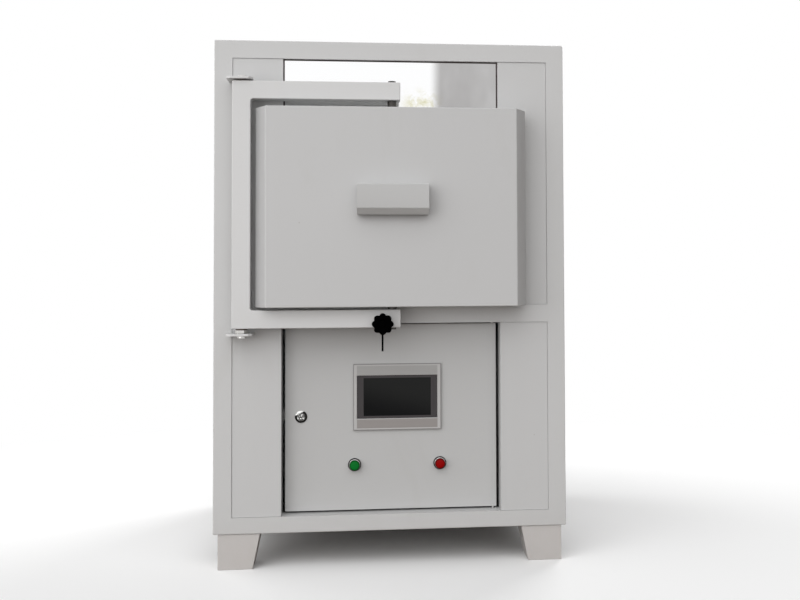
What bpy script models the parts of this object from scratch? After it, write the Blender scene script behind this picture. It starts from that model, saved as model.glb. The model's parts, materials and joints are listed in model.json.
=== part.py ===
# Box furnace on feet: a sheet-metal cabinet with a fibre-lined chamber behind a door that hangs
# in a C-shaped swing arm, and a control compartment behind a recessed door below it.
# X runs to the right, Y into the cabinet, Z up from the floor. All lengths are metres.
import math

import bmesh
import bpy
from mathutils import Vector

for old_object in list(bpy.data.objects):
    bpy.data.objects.remove(old_object, do_unlink=True)

# driving dimensions of the cabinet
cabinet_width = 0.790
cabinet_height = 1.100
cabinet_depth = 0.800
foot_height = 0.078
frame_face = 0.040
bottom_rail = 0.036
frame_depth = 0.050
mid_rail_top = 0.503
aperture_width = 0.486
shell_sheet = 0.0015
gap = 0.0003
overrun = 0.004
edge_round = 0.002

# chamber and its mouth
chamber_width = 0.400
chamber_height = 0.300
chamber_length = 0.490
chamber_centre = 0.7215
board = 0.108
back_board = 0.110
mouth_recess = 0.010
mouth_sheet = 0.003
mouth_margin = 0.002

# furnace door, seen from the front
door_width = 0.600
door_height = 0.440
door_depth = 0.070
door_stand = 0.014
door_edge = 0.026
door_taper = 0.0245
seal_gap = 0.0026
seal_margin = 0.007
seal_width = aperture_width - 2 * seal_margin
seal_height = 0.372
plug_depth = 0.040
plug_clearance = 0.007
plug_draft = 0.008

# swing arm that carries the furnace door
arm_tube = 0.040
arm_wall = 0.0025
arm_stand = 0.015
arm_inset = 0.045
arm_left = cabinet_width / 2 - arm_inset
arm_end = 0.018
arm_bottom = 0.4555
arm_top = 1.0005
swing_pin_radius = 0.007

# clamp screw and its star knob
screw_across = -0.0220
screw_height = 0.4640
screw_radius = 0.004
screw_stand = 0.0124
knob_radius = 0.0240
knob_thickness = 0.018
knob_stand = 0.0120
clamp_travel = 0.0045

# control door and what it carries
control_recess = 0.035
control_side_gap = 0.0035
lower_jamb_step = 0.0035
control_top_gap = 0.0035
control_bottom_gap = 0.0045
control_flange = 0.020
hinge_inset = 0.008
control_centre = 0.0127

# parts that reach furthest to the front and to the rear
handle_reach = 0.036
gland_reach = 0.026

arm_axis_x = arm_tube / 2 - arm_left
arm_axis_y = -(arm_stand + arm_tube / 2)
front_reach = door_stand + door_depth + handle_reach
front_y = (front_reach - gland_reach - cabinet_depth) / 2
opening_half = cabinet_width / 2 - frame_face
inner_half = aperture_width / 2
lower_half = inner_half + lower_jamb_step
top_rail_bottom = cabinet_height - frame_face
mid_rail_bottom = mid_rail_top - frame_face
rear_y = cabinet_depth
boards_front = mouth_recess + mouth_sheet + gap
boards_rear = boards_front + chamber_length

bodies = {}


def material(name, colour, roughness, metallic):
    """Principled material with one colour."""
    made = bpy.data.materials.new(name)
    made.use_nodes = True
    shader = made.node_tree.nodes["Principled BSDF"]
    shader.inputs["Base Color"].default_value = (*colour, 1.0)
    shader.inputs["Roughness"].default_value = roughness
    shader.inputs["Metallic"].default_value = metallic
    return made


paint = (0.62, 0.62, 0.61)
paint_light = (0.68, 0.68, 0.68)
steel = (0.60, 0.60, 0.60)
mirror = (0.80, 0.80, 0.80)
fibre = (0.86, 0.84, 0.79)
black = (0.02, 0.02, 0.02)
charcoal = (0.06, 0.06, 0.065)
bezel_grey = (0.42, 0.40, 0.40)
bronze = (0.55, 0.38, 0.18)


def body_empty(name, x, y, z, parent=None):
    """An empty on a joint's axis; x, y and z are in the cabinet's own front-plane frame."""
    empty = bpy.data.objects.new(name + "_axis", None)
    bpy.context.collection.objects.link(empty)
    world = Vector((x, y + front_y, z + foot_height))
    if parent:
        empty.parent = bodies[parent][0]
        empty.location = world - bodies[parent][1]
    else:
        empty.location = world
    bodies[name] = (empty, world)


def finish(name, mesh_data, colour, roughness, metallic, body=None, smooth=None):
    """Writes a bmesh, drawn in the front-plane frame, into an object on its body's axis."""
    bmesh.ops.recalc_face_normals(mesh_data, faces=mesh_data.faces)
    shift = Vector((0, front_y, foot_height))
    if body:
        shift = shift - bodies[body][1]
    bmesh.ops.translate(mesh_data, verts=mesh_data.verts, vec=shift)
    mesh = bpy.data.meshes.new(name)
    mesh_data.to_mesh(mesh)
    mesh_data.free()
    if smooth:
        mesh.shade_smooth()
        mesh.set_sharp_from_angle(angle=math.radians(smooth))
    made = bpy.data.objects.new(name, mesh)
    bpy.context.collection.objects.link(made)
    made.data.materials.append(material(name + "_finish", colour, roughness, metallic))
    if body:
        made.parent = bodies[body][0]
    return made


def cut(target, name, mesh_data, body=None):
    """Cuts the target with a hidden cutter drawn in the front-plane frame."""
    cutter = finish(name, mesh_data, black, 1.0, 0.0, body)
    cutter.hide_render = True
    cutter.display_type = "WIRE"
    modifier = target.modifiers.new(name, "BOOLEAN")
    modifier.operation = "DIFFERENCE"
    modifier.solver = "EXACT"
    modifier.object = cutter


def unite(target, helper):
    """Joins a hidden helper shape to the target."""
    helper.hide_render = True
    helper.display_type = "WIRE"
    modifier = target.modifiers.new(helper.name, "BOOLEAN")
    modifier.operation = "UNION"
    modifier.solver = "EXACT"
    modifier.object = helper


def round_edges(target, width, segments=2):
    """Rounds the sharp edges of a box-like piece."""
    modifier = target.modifiers.new("rounded_edges", "BEVEL")
    modifier.width = width
    modifier.segments = segments
    modifier.limit_method = "ANGLE"
    modifier.angle_limit = math.radians(40)


def add_box(mesh_data, low, high):
    """A box between two corners."""
    corners = [[low[axis], high[axis]] for axis in range(3)]
    verts = [
        mesh_data.verts.new((x, y, z))
        for x in corners[0] for y in corners[1] for z in corners[2]
    ]
    for loop in ((0, 1, 3, 2), (4, 6, 7, 5), (0, 4, 5, 1), (2, 3, 7, 6), (0, 2, 6, 4), (1, 5, 7, 3)):
        mesh_data.faces.new([verts[index] for index in loop])


def place(axis, u, v, t):
    """A point from two coordinates across an axis and one along it."""
    if axis == "x":
        return (t, u, v)
    if axis == "y":
        return (u, t, v)
    return (u, v, t)


def add_prism(mesh_data, outline, axis, start, end):
    """An outline carried straight along an axis."""
    rings = []
    for t in (start, end):
        rings.append([mesh_data.verts.new(place(axis, u, v, t)) for u, v in outline])
    count = len(outline)
    mesh_data.faces.new(rings[0])
    mesh_data.faces.new(rings[1])
    for index in range(count):
        after = (index + 1) % count
        mesh_data.faces.new((rings[0][index], rings[0][after], rings[1][after], rings[1][index]))


def add_turned(mesh_data, profile, axis, u, v, sides):
    """A profile of (radius, place along the axis) turned about the axis; radius 0 closes an end."""
    rings = []
    for radius, t in profile:
        if radius == 0:
            rings.append([mesh_data.verts.new(place(axis, u, v, t))])
            continue
        ring = []
        for step in range(sides):
            angle = 2 * math.pi * step / sides
            point = place(axis, u + radius * math.cos(angle), v + radius * math.sin(angle), t)
            ring.append(mesh_data.verts.new(point))
        rings.append(ring)
    closed = profile[0][0] != 0 and profile[-1][0] != 0
    pairs = list(zip(rings, rings[1:]))
    if closed:
        pairs.append((rings[-1], rings[0]))
    for first, second in pairs:
        for step in range(sides):
            after = (step + 1) % sides
            if len(first) == 1:
                mesh_data.faces.new((first[0], second[step], second[after]))
            elif len(second) == 1:
                mesh_data.faces.new((first[step], second[0], first[after]))
            else:
                mesh_data.faces.new((first[step], second[step], second[after], first[after]))


def rod(mesh_data, radius, axis, u, v, start, end, sides=20):
    """A plain round bar."""
    add_turned(mesh_data, [(0, start), (radius, start), (radius, end), (0, end)], axis, u, v, sides)


def add_tray(mesh_data, low, high, wall):
    """A sheet tray: front face at low y and four flanges, open at the back."""
    outer = [(low[0], low[2]), (high[0], low[2]), (high[0], high[2]), (low[0], high[2])]
    inner = [
        (low[0] + wall, low[2] + wall), (high[0] - wall, low[2] + wall),
        (high[0] - wall, high[2] - wall), (low[0] + wall, high[2] - wall),
    ]
    front = [mesh_data.verts.new((x, low[1], z)) for x, z in outer]
    back = [mesh_data.verts.new((x, high[1], z)) for x, z in outer]
    rim = [mesh_data.verts.new((x, high[1], z)) for x, z in inner]
    floor = [mesh_data.verts.new((x, low[1] + wall, z)) for x, z in inner]
    mesh_data.faces.new(front)
    mesh_data.faces.new(floor)
    for index in range(4):
        after = (index + 1) % 4
        mesh_data.faces.new((front[index], front[after], back[after], back[index]))
        mesh_data.faces.new((back[index], back[after], rim[after], rim[index]))
        mesh_data.faces.new((rim[index], rim[after], floor[after], floor[index]))


def box_piece(name, low, high, colour, roughness, metallic, body=None):
    """A node that is one box."""
    mesh_data = bmesh.new()
    add_box(mesh_data, low, high)
    return finish(name, mesh_data, colour, roughness, metallic, body)


def rod_piece(name, profile, axis, u, v, sides, colour, roughness, metallic, body=None):
    """A node that is one turned piece."""
    mesh_data = bmesh.new()
    add_turned(mesh_data, profile, axis, u, v, sides)
    return finish(name, mesh_data, colour, roughness, metallic, body, smooth=35)


def rounded_outline(left, low, right, high):
    """A rectangle with its four corners rounded."""
    steps = 3
    centres = (
        (right - edge_round, high - edge_round, 0), (left + edge_round, high - edge_round, 90),
        (left + edge_round, low + edge_round, 180), (right - edge_round, low + edge_round, 270),
    )
    points = []
    for x, z, first in centres:
        for step in range(steps + 1):
            angle = math.radians(first + 90 * step / steps)
            points.append((x + edge_round * math.cos(angle), z + edge_round * math.sin(angle)))
    return points


def make_shell():
    """Bent sheet wrap: two sides, top and bottom, with a rear wall round the service opening."""
    half = cabinet_width / 2
    start = frame_depth + gap
    mesh_data = bmesh.new()
    add_prism(mesh_data, rounded_outline(-half, 0, half, cabinet_height), "y", start, rear_y)
    shell = finish("cabinet_shell", mesh_data, paint, 0.45, 0.0)
    hollow = bmesh.new()
    add_box(
        hollow,
        (shell_sheet - half, start - overrun, shell_sheet),
        (half - shell_sheet, rear_y - shell_sheet, cabinet_height - shell_sheet),
    )
    cut(shell, "shell_hollow_cutter", hollow)
    service = bmesh.new()
    add_box(
        service,
        (-service_half, rear_y - shell_sheet - overrun, service_bottom),
        (service_half, rear_y + overrun, service_top),
    )
    gland_hole = shell_sheet + gland_bore_clearance
    hole_radius = gland_thread + gap
    rod(service, hole_radius, "y", gland_x, gland_z, rear_y - gland_hole, rear_y + overrun, 24)
    cut(shell, "shell_service_cutter", service)


rear_cover_margin = 0.025
service_half = 0.300
service_bottom = 0.240
service_top = 1.020
gland_x = 0.240
gland_z = 0.110
gland_thread = 0.012
gland_bore_clearance = 0.006


def make_frame():
    """Welded front frame: two stiles and three rails, with the control door's pin holes."""
    half = cabinet_width / 2
    mesh_data = bmesh.new()
    add_box(mesh_data, (-half, 0, 0), (half, frame_depth, cabinet_height))
    frame = finish("front_frame", mesh_data, paint, 0.45, 0.0)
    round_edges(frame, edge_round)
    openings = bmesh.new()
    add_box(
        openings,
        (-opening_half, -overrun, mid_rail_top),
        (opening_half, frame_depth + overrun, top_rail_bottom),
    )
    add_box(
        openings,
        (-opening_half, -overrun, bottom_rail),
        (opening_half, frame_depth + overrun, mid_rail_bottom),
    )
    cut(frame, "frame_openings_cutter", openings)
    holes = bmesh.new()
    hole = hinge_pin_radius + gap
    upper_end = mid_rail_bottom + hinge_pin_seat
    rod(holes, hole, "z", hinge_x, hinge_y, mid_rail_bottom - overrun, upper_end, 12)
    rod(holes, hole, "z", hinge_x, hinge_y, bottom_rail - hinge_pin_seat, bottom_rail + overrun, 12)
    cut(frame, "frame_pin_cutter", holes)


hinge_pin_radius = 0.003
hinge_pin_seat = 0.010
hinge_pin_reach = 0.008
hinge_setback = 0.005
control_half = inner_half - control_side_gap
control_low = bottom_rail + control_bottom_gap
control_high = mid_rail_bottom - control_top_gap
hinge_x = control_half - hinge_inset
hinge_y = control_recess + hinge_setback
infill_recess = 0.002
jamb_depth = 0.066
strike_reach = 0.0105
strike_sheet = 0.003
strike_height = 0.024


def make_infills():
    """Four narrow infill panels bent back into jambs; the lower left one has the lock's strike."""
    spans = {
        "upper": (mid_rail_top + gap, top_rail_bottom - gap),
        "lower": (bottom_rail + gap, mid_rail_bottom - gap),
    }
    for side_name, side in (("left", -1), ("right", 1)):
        for level, (low, high) in spans.items():
            outer = opening_half - gap
            inner = lower_half if level == "lower" else inner_half
            outline = [
                (side * outer, infill_recess),
                (side * inner, infill_recess),
                (side * inner, infill_recess + jamb_depth),
                (side * (inner + shell_sheet), infill_recess + jamb_depth),
                (side * (inner + shell_sheet), infill_recess + shell_sheet),
                (side * outer, infill_recess + shell_sheet),
            ]
            mesh_data = bmesh.new()
            add_prism(mesh_data, outline, "z", low, high)
            panel = finish(f"infill_{level}_{side_name}", mesh_data, paint, 0.45, 0.0)
            if level == "lower" and side < 0:
                unite(panel, lock_strike())


def lock_strike():
    """Tab at the jamb's rear edge, behind which the lock's cam turns."""
    tab = bmesh.new()
    end = infill_recess + jamb_depth - gap
    add_box(
        tab,
        (-lower_half - shell_sheet / 2, end - strike_sheet, lock_z - strike_height / 2),
        (strike_reach - lower_half, end, lock_z + strike_height / 2),
    )
    return finish("lock_strike_tab", tab, paint, 0.45, 0.0)


def make_mouth():
    """Polished plate round the chamber's mouth."""
    half = inner_half - gap
    mesh_data = bmesh.new()
    add_box(
        mesh_data,
        (-half, mouth_recess, mid_rail_top + gap),
        (half, mouth_recess + mouth_sheet, top_rail_bottom - gap),
    )
    plate = finish("mouth_plate", mesh_data, mirror, 0.08, 1.0)
    hole = bmesh.new()
    across = chamber_width / 2 + mouth_margin
    up = chamber_height / 2 + mouth_margin
    add_box(
        hole,
        (-across, mouth_recess - overrun, chamber_centre - up),
        (across, mouth_recess + mouth_sheet + overrun, chamber_centre + up),
    )
    cut(plate, "mouth_hole_cutter", hole)


deck_sheet = 0.003
hearth_thickness = 0.012
hearth_margin = 0.030
element_radius = 0.004
element_end_radius = 0.007
element_bends = 5
element_offset = 0.022
element_drop = 0.245
element_top_gap = 0.020
element_stub = 0.050
thermocouple_radius = 0.006
thermocouple_reach = 0.090
thermocouple_tail = 0.035
thermocouple_height = 0.060
thermocouple_tip_share = 0.7
thermocouple_round_share = 0.3
sleeve_clearance = 0.0004


def make_chamber():
    """Fibre boards round the chamber, the deck under them and the hearth plate inside."""
    half_w = chamber_width / 2
    low = chamber_centre - chamber_height / 2
    high = chamber_centre + chamber_height / 2
    deck_low = mid_rail_bottom
    deck_half = cabinet_width / 2 - shell_sheet - gap
    deck_y = max(frame_depth, infill_recess + jamb_depth) + gap
    deck = bmesh.new()
    add_box(
        deck, (-deck_half, deck_y, deck_low),
        (deck_half, boards_rear + back_board, deck_low + deck_sheet),
    )
    finish("deck_plate", deck, steel, 0.5, 0.8)
    outer = half_w + board
    side_board_front = max(frame_depth, infill_recess + jamb_depth) + gap
    floor_low = deck_low + deck_sheet + gap
    inner_front = inner_half - gap

    def stepped(name, bottom, top):
        """Board whose front part is narrower, where it stands between the jambs."""
        outline = [
            (-inner_front, boards_front), (inner_front, boards_front),
            (inner_front, side_board_front), (outer, side_board_front),
            (outer, boards_rear), (-outer, boards_rear),
            (-outer, side_board_front), (-inner_front, side_board_front),
        ]
        mesh_data = bmesh.new()
        add_prism(mesh_data, outline, "z", bottom, top)
        return finish(name, mesh_data, fibre, 0.95, 0.0)

    floor = bmesh.new()
    floor_outline = [
        (side_board_front, floor_low), (boards_rear, floor_low), (boards_rear, low - gap),
        (boards_front, low - gap), (boards_front, mid_rail_top + gap),
        (side_board_front, mid_rail_top + gap),
    ]
    add_prism(floor, floor_outline, "x", -inner_front, inner_front)
    finish("chamber_floor", floor, fibre, 0.95, 0.0)
    roof = stepped("chamber_roof", high + gap, high + board)
    holes = bmesh.new()
    for side in (-1, 1):
        shanks = element_shanks()
        for depth in (shanks[0], shanks[-1]):
            rod(
                holes, element_end_radius + sleeve_clearance, "z",
                side * (chamber_width / 2 - element_offset), depth,
                high - overrun, high + board + overrun, 16,
            )
    cut(roof, "roof_holes_cutter", holes)
    for name, side in (("left", -1), ("right", 1)):
        outline = [
            (side * half_w, boards_front), (side * half_w, boards_rear),
            (side * outer, boards_rear), (side * outer, side_board_front),
            (side * inner_front, side_board_front), (side * inner_front, boards_front),
        ]
        mesh_data = bmesh.new()
        add_prism(mesh_data, outline, "z", low, high)
        finish(f"chamber_wall_{name}", mesh_data, fibre, 0.95, 0.0)
    back = bmesh.new()
    add_box(
        back,
        (-outer, boards_rear + gap, floor_low),
        (outer, boards_rear + back_board, high + board),
    )
    back_object = finish("chamber_back", back, fibre, 0.95, 0.0)
    bore = bmesh.new()
    rod(
        bore, thermocouple_radius + sleeve_clearance, "y", 0, high - thermocouple_height,
        boards_rear - overrun, boards_rear + back_board + overrun, 16,
    )
    cut(back_object, "thermocouple_bore_cutter", bore)
    hearth = box_piece(
        "hearth_plate",
        (hearth_margin - half_w, boards_front + hearth_margin + plug_depth, low),
        (half_w - hearth_margin, boards_rear - hearth_margin, low + hearth_thickness),
        (0.30, 0.28, 0.27), 0.7, 0.0,
    )
    round_edges(hearth, edge_round)


def element_shanks():
    """Depths in the cabinet of the shanks of the hanging element beside a wall."""
    first = boards_front + plug_depth + element_offset
    last = boards_rear - 2 * element_offset
    shanks = element_bends + 1
    return [first + (last - first) * index / (shanks - 1) for index in range(shanks)]


def element_path(high):
    """Depth, height, radius and turn along one meander, from its front end to its rear end."""
    shanks = element_shanks()
    bend = (shanks[1] - shanks[0]) / 2
    bend_steps = 6
    top = high + board + element_stub
    shoulder = high - element_end_radius
    path = [
        (shanks[0], top, element_end_radius, 0.0),
        (shanks[0], shoulder, element_end_radius, 0.0),
        (shanks[0], shoulder - element_end_radius, element_radius, 0.0),
    ]
    for index in range(element_bends):
        centre = (shanks[index] + shanks[index + 1]) / 2
        down = index % 2 == 0
        for step in range(bend_steps + 1):
            share = step / bend_steps
            angle = math.pi * share
            turn = angle if down else math.pi - angle
            y = centre - bend * math.cos(angle)
            if down:
                z = high - element_drop + bend - bend * math.sin(angle)
            else:
                z = high - element_top_gap - bend + bend * math.sin(angle)
            path.append((y, z, element_radius, turn))
    path.extend([
        (shanks[-1], shoulder - element_end_radius, element_radius, math.pi),
        (shanks[-1], shoulder, element_end_radius, math.pi),
        (shanks[-1], top, element_end_radius, math.pi),
    ])
    return path


def add_element(mesh_data, x, path):
    """A meander as one closed tube, thick where it passes the roof."""
    sides = 8
    rings = []
    for y, z, radius, turn in path:
        ring = []
        for step in range(sides):
            angle = 2 * math.pi * step / sides
            across = radius * math.cos(angle)
            out = radius * math.sin(angle)
            point = (x + across, y + out * math.cos(turn), z + out * math.sin(turn))
            ring.append(mesh_data.verts.new(point))
        rings.append(ring)
    mesh_data.faces.new(rings[0])
    mesh_data.faces.new(rings[-1])
    for first, second in zip(rings, rings[1:]):
        for step in range(sides):
            after = (step + 1) % sides
            mesh_data.faces.new((first[step], first[after], second[after], second[step]))


def make_elements():
    """Hanging heating elements beside both walls, and the thermocouple through the back."""
    high = chamber_centre + chamber_height / 2
    for name, side in (("left", -1), ("right", 1)):
        mesh_data = bmesh.new()
        add_element(mesh_data, side * (chamber_width / 2 - element_offset), element_path(high))
        finish(f"heating_element_{name}", mesh_data, (0.16, 0.15, 0.14), 0.6, 0.2, smooth=40)
    start = boards_rear - thermocouple_reach
    end = boards_rear + back_board + thermocouple_tail
    radius = thermocouple_radius
    rod_piece(
        "thermocouple",
        [
            (0, start), (radius * thermocouple_tip_share, start + radius * thermocouple_round_share),
            (radius, start + radius), (radius, end), (0, end),
        ],
        "y", 0, high - thermocouple_height, 16, (0.80, 0.76, 0.68), 0.8, 0.0,
    )


louvre_count = 8
louvre_pitch = 0.034
louvre_width = 0.200
louvre_rise = 0.008
louvre_drop = 0.014
louvre_first = 0.080
screw_head_radius = 0.007
screw_head_height = 0.004
screw_inset = 0.012
screw_crown_share = 0.75
gland_nut_share = 0.45
gland_steps_shares = ((0.92, 0.5), (0.8, 0.95), (0.7, 1.0))


def make_rear():
    """Rear service cover with pressed louvres and screw heads, and the inlet gland."""
    half = service_half + rear_cover_margin
    low = service_bottom - rear_cover_margin
    high = service_top + rear_cover_margin
    start = rear_y + gap
    mesh_data = bmesh.new()
    add_box(mesh_data, (-half, start, low), (half, start + shell_sheet, high))
    cover = finish("rear_cover", mesh_data, paint, 0.45, 0.0)
    columns = (-service_half / 2, service_half / 2)
    hoods = bmesh.new()
    for block in (low + louvre_first, high - louvre_first - louvre_count * louvre_pitch):
        for index in range(louvre_count):
            for column in columns:
                z = block + index * louvre_pitch
                hood = [
                    (start + shell_sheet / 2, z + louvre_drop),
                    (start + shell_sheet + louvre_rise, z),
                    (start + shell_sheet / 2, z),
                ]
                add_prism(hoods, hood, "x", column - louvre_width / 2, column + louvre_width / 2)
    unite(cover, finish("louvre_hoods", hoods, paint, 0.45, 0.0))
    places = []
    across = half - screw_inset
    rows = 4
    for row in range(rows):
        z = low + screw_inset + row * (high - low - 2 * screw_inset) / (rows - 1)
        places.append((-across, z))
        places.append((across, z))
    heads = bmesh.new()
    for x, z in places:
        add_turned(
            heads,
            [
                (0, start + shell_sheet / 2), (screw_head_radius, start + shell_sheet / 2),
                (screw_head_radius * screw_crown_share, start + shell_sheet + screw_head_height),
                (0, start + shell_sheet + screw_head_height),
            ],
            "y", x, z, 12,
        )
    unite(cover, finish("cover_screw_heads", heads, steel, 0.3, 1.0))
    nut_radius = gland_thread + gland_bore_clearance
    inside = rear_y - shell_sheet - gap
    lip = gland_thread - gland_bore_clearance / 2
    flange_start = rear_y + gap
    rod_piece(
        "cable_gland",
        [
            (gland_thread, inside - nut_radius), (gland_thread, flange_start),
            (nut_radius, flange_start), (nut_radius, flange_start + gland_reach * gland_nut_share),
            *((nut_radius * wide, rear_y + gland_reach * along) for wide, along in gland_steps_shares),
            (lip, rear_y + gland_reach), (lip, inside - nut_radius),
        ],
        "y", gland_x, gland_z, 24, charcoal, 0.6, 0.0,
    )


foot_top_width = 0.092
foot_bottom_width = 0.076
foot_inset = 0.0105
foot_sheet = 0.003


def make_feet():
    """Four folded feet, upright outside and tapered inside, open at the top."""
    corners = {
        "foot_front_left": (-1, -1), "foot_front_right": (1, -1),
        "foot_rear_left": (-1, 1), "foot_rear_right": (1, 1),
    }
    half = cabinet_width / 2 - foot_inset
    centre = cabinet_depth / 2
    for name, (side, end) in corners.items():
        def ring(width_x, grow, z):
            """Four corners of the foot at a height, drawn in by grow."""
            outer_x = side * (half - grow)
            inner_x = side * (half - width_x + grow)
            outer_y = centre + end * (centre - foot_inset / 3 - grow)
            inner_y = centre + end * (centre - foot_inset / 3 - width_x + grow)
            return [
                (outer_x, outer_y, z), (inner_x, outer_y, z),
                (inner_x, inner_y, z), (outer_x, inner_y, z),
            ]
        top = -gap
        floor = foot_sheet - foot_height
        slope = (foot_top_width - foot_bottom_width) / foot_height
        inner_floor_width = foot_bottom_width + slope * foot_sheet
        mesh_data = bmesh.new()
        loops = []
        for width, grow, z in (
            (foot_bottom_width, 0, -foot_height), (foot_top_width, 0, top),
            (foot_top_width, foot_sheet, top), (inner_floor_width, foot_sheet, floor),
        ):
            loops.append([mesh_data.verts.new(point) for point in ring(width, grow, z)])
        mesh_data.faces.new(loops[0])
        mesh_data.faces.new(loops[3])
        for first, second in zip(loops, loops[1:]):
            for index in range(4):
                after = (index + 1) % 4
                mesh_data.faces.new((first[index], first[after], second[after], second[index]))
        finish(name, mesh_data, paint, 0.5, 0.0)


bracket_sheet = 0.005
bracket_reach = 0.062
bracket_outer_inset = 0.033
bracket_inner_inset = 0.089
bracket_left = cabinet_width / 2 - bracket_outer_inset
bracket_right = cabinet_width / 2 - bracket_inner_inset
bracket_chamfer = 0.008
bush_flange = 0.0025
bush_wall = 0.003
bush_depth = 0.020
pin_head = 0.005
pin_head_radius = 0.0095
nut_across = 0.0135
nut_height = 0.0075


def swing_pin_profile(start, end, head_end):
    """Shank from start to end, then a head up to head_end."""
    return [
        (0, start), (swing_pin_radius, start), (swing_pin_radius, end),
        (pin_head_radius, end), (pin_head_radius, head_end), (0, head_end),
    ]


def make_hinge():
    """Brackets on the left stile and the pins on which the arm swings."""
    washer = bush_flange + 2 * gap
    top_plate = arm_top + washer
    bottom_plate = arm_bottom - washer - nut_height - gap
    outline = [
        (-bracket_left, -gap), (-bracket_left, bracket_chamfer - bracket_reach),
        (bracket_chamfer - bracket_left, -bracket_reach), (-bracket_right - bracket_chamfer, -bracket_reach),
        (-bracket_right, bracket_chamfer - bracket_reach), (-bracket_right, -gap),
    ]
    levels = {"hinge_bracket_top": top_plate, "hinge_bracket_bottom": bottom_plate - bracket_sheet}
    for name, low in levels.items():
        mesh_data = bmesh.new()
        add_prism(mesh_data, outline, "z", low, low + bracket_sheet)
        plate = finish(name, mesh_data, paint, 0.45, 0.0)
        bore = bmesh.new()
        rod(
            bore, swing_pin_radius + gap, "z", arm_axis_x, arm_axis_y,
            low - overrun, low + bracket_sheet + overrun, 20,
        )
        cut(plate, name + "_cutter", bore)
    seat = bush_depth
    head_low = top_plate + bracket_sheet + gap
    rod_piece(
        "hinge_pin_top", swing_pin_profile(arm_top - seat, head_low, head_low + pin_head),
        "z", arm_axis_x, arm_axis_y, 20, steel, 0.3, 1.0,
    )
    below = bottom_plate - bracket_sheet - gap
    rod_piece(
        "hinge_pin_bottom", swing_pin_profile(arm_bottom + seat, below, below - pin_head),
        "z", arm_axis_x, arm_axis_y, 20, steel, 0.3, 1.0,
    )
    nut = bmesh.new()
    hexagon = [
        (
            arm_axis_x + nut_across * math.cos(math.radians(60 * corner)),
            arm_axis_y + nut_across * math.sin(math.radians(60 * corner)),
        )
        for corner in range(6)
    ]
    add_prism(nut, hexagon, "z", bottom_plate + gap, bottom_plate + nut_height)
    nut_object = finish("hinge_nut", nut, steel, 0.25, 1.0)
    bore = bmesh.new()
    rod(
        bore, swing_pin_radius + gap, "z", arm_axis_x, arm_axis_y,
        bottom_plate - overrun, bottom_plate + nut_height + overrun, 20,
    )
    cut(nut_object, "hinge_nut_cutter", bore)
    inner = swing_pin_radius + gap
    outer = inner + bush_wall
    wide = outer + bush_wall
    for name, start, way in (("arm_bush_top", arm_top, 1), ("arm_bush_bottom", arm_bottom, -1)):
        rod_piece(
            name,
            [
                (inner, start + way * (gap + bush_flange)), (wide, start + way * (gap + bush_flange)),
                (wide, start + way * gap), (outer, start + way * gap),
                (outer, start - way * bush_depth), (inner, start - way * bush_depth),
            ],
            "z", arm_axis_x, arm_axis_y, 20, bronze, 0.4, 1.0, "arm",
        )


pivot_radius = 0.005
pivot_seat = 0.014
spacer_radius = 0.010
pivot_head_radius = 0.0085
pivot_head = 0.0045
corner_radius = 0.006


def make_arm():
    """C-shaped arm of square tube, hollow, with the bores of its pins and of the clamp screw."""
    front = -(arm_stand + arm_tube)
    back = -arm_stand
    right = arm_end

    def c_outline(inset):
        """Outline of the C drawn in by inset, with rounded inner corners."""
        left = inset - arm_left
        bottom = arm_bottom + inset
        top = arm_top - inset
        inner_x = arm_tube - inset - arm_left
        inner_low = arm_bottom + arm_tube - inset
        inner_high = arm_top - arm_tube + inset
        end = right - inset
        radius = corner_radius
        points = [(left, bottom), (end, bottom), (end, inner_low)]
        steps = 3
        for step in range(steps + 1):
            angle = math.radians(90) * step / steps
            points.append((
                inner_x + radius - radius * math.sin(angle),
                inner_low + radius - radius * math.cos(angle),
            ))
        for step in range(steps + 1):
            angle = math.radians(90) * step / steps
            points.append((
                inner_x + radius - radius * math.cos(angle),
                inner_high - radius + radius * math.sin(angle),
            ))
        points.extend([(end, inner_high), (end, top), (left, top)])
        return points

    mesh_data = bmesh.new()
    add_prism(mesh_data, c_outline(0), "y", front, back)
    arm = finish("door_arm", mesh_data, paint_light, 0.4, 0.0, "arm")
    round_edges(arm, edge_round)
    hollow = bmesh.new()
    add_prism(hollow, c_outline(arm_wall), "y", front + arm_wall, back - arm_wall)
    cut(arm, "arm_hollow_cutter", hollow, "arm")
    bores = bmesh.new()
    bush_bore = swing_pin_radius + bush_wall + 2 * gap
    deep = arm_wall + overrun
    rod(bores, bush_bore, "z", arm_axis_x, arm_axis_y, arm_top - deep, arm_top + overrun, 20)
    rod(bores, bush_bore, "z", arm_axis_x, arm_axis_y, arm_bottom - overrun, arm_bottom + deep, 20)
    pivot_bore = pivot_radius + gap
    rod(bores, pivot_bore, "z", 0, arm_axis_y, arm_top - arm_tube - overrun, arm_top + overrun, 16)
    rod(bores, pivot_bore, "z", 0, arm_axis_y, arm_bottom - overrun, arm_bottom + arm_tube + overrun, 16)
    cut(arm, "arm_bores_cutter", bores, "arm")
    screw_bore = bmesh.new()
    rod(screw_bore, screw_radius + gap, "y", screw_across, screw_height, front - overrun, back + overrun, 16)
    cut(arm, "arm_screw_cutter", screw_bore, "arm")


handle_width = 0.156
handle_low = 0.703
handle_high = 0.770
handle_sheet = 0.003
handle_lip = 0.014
door_sheet = 0.002


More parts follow.
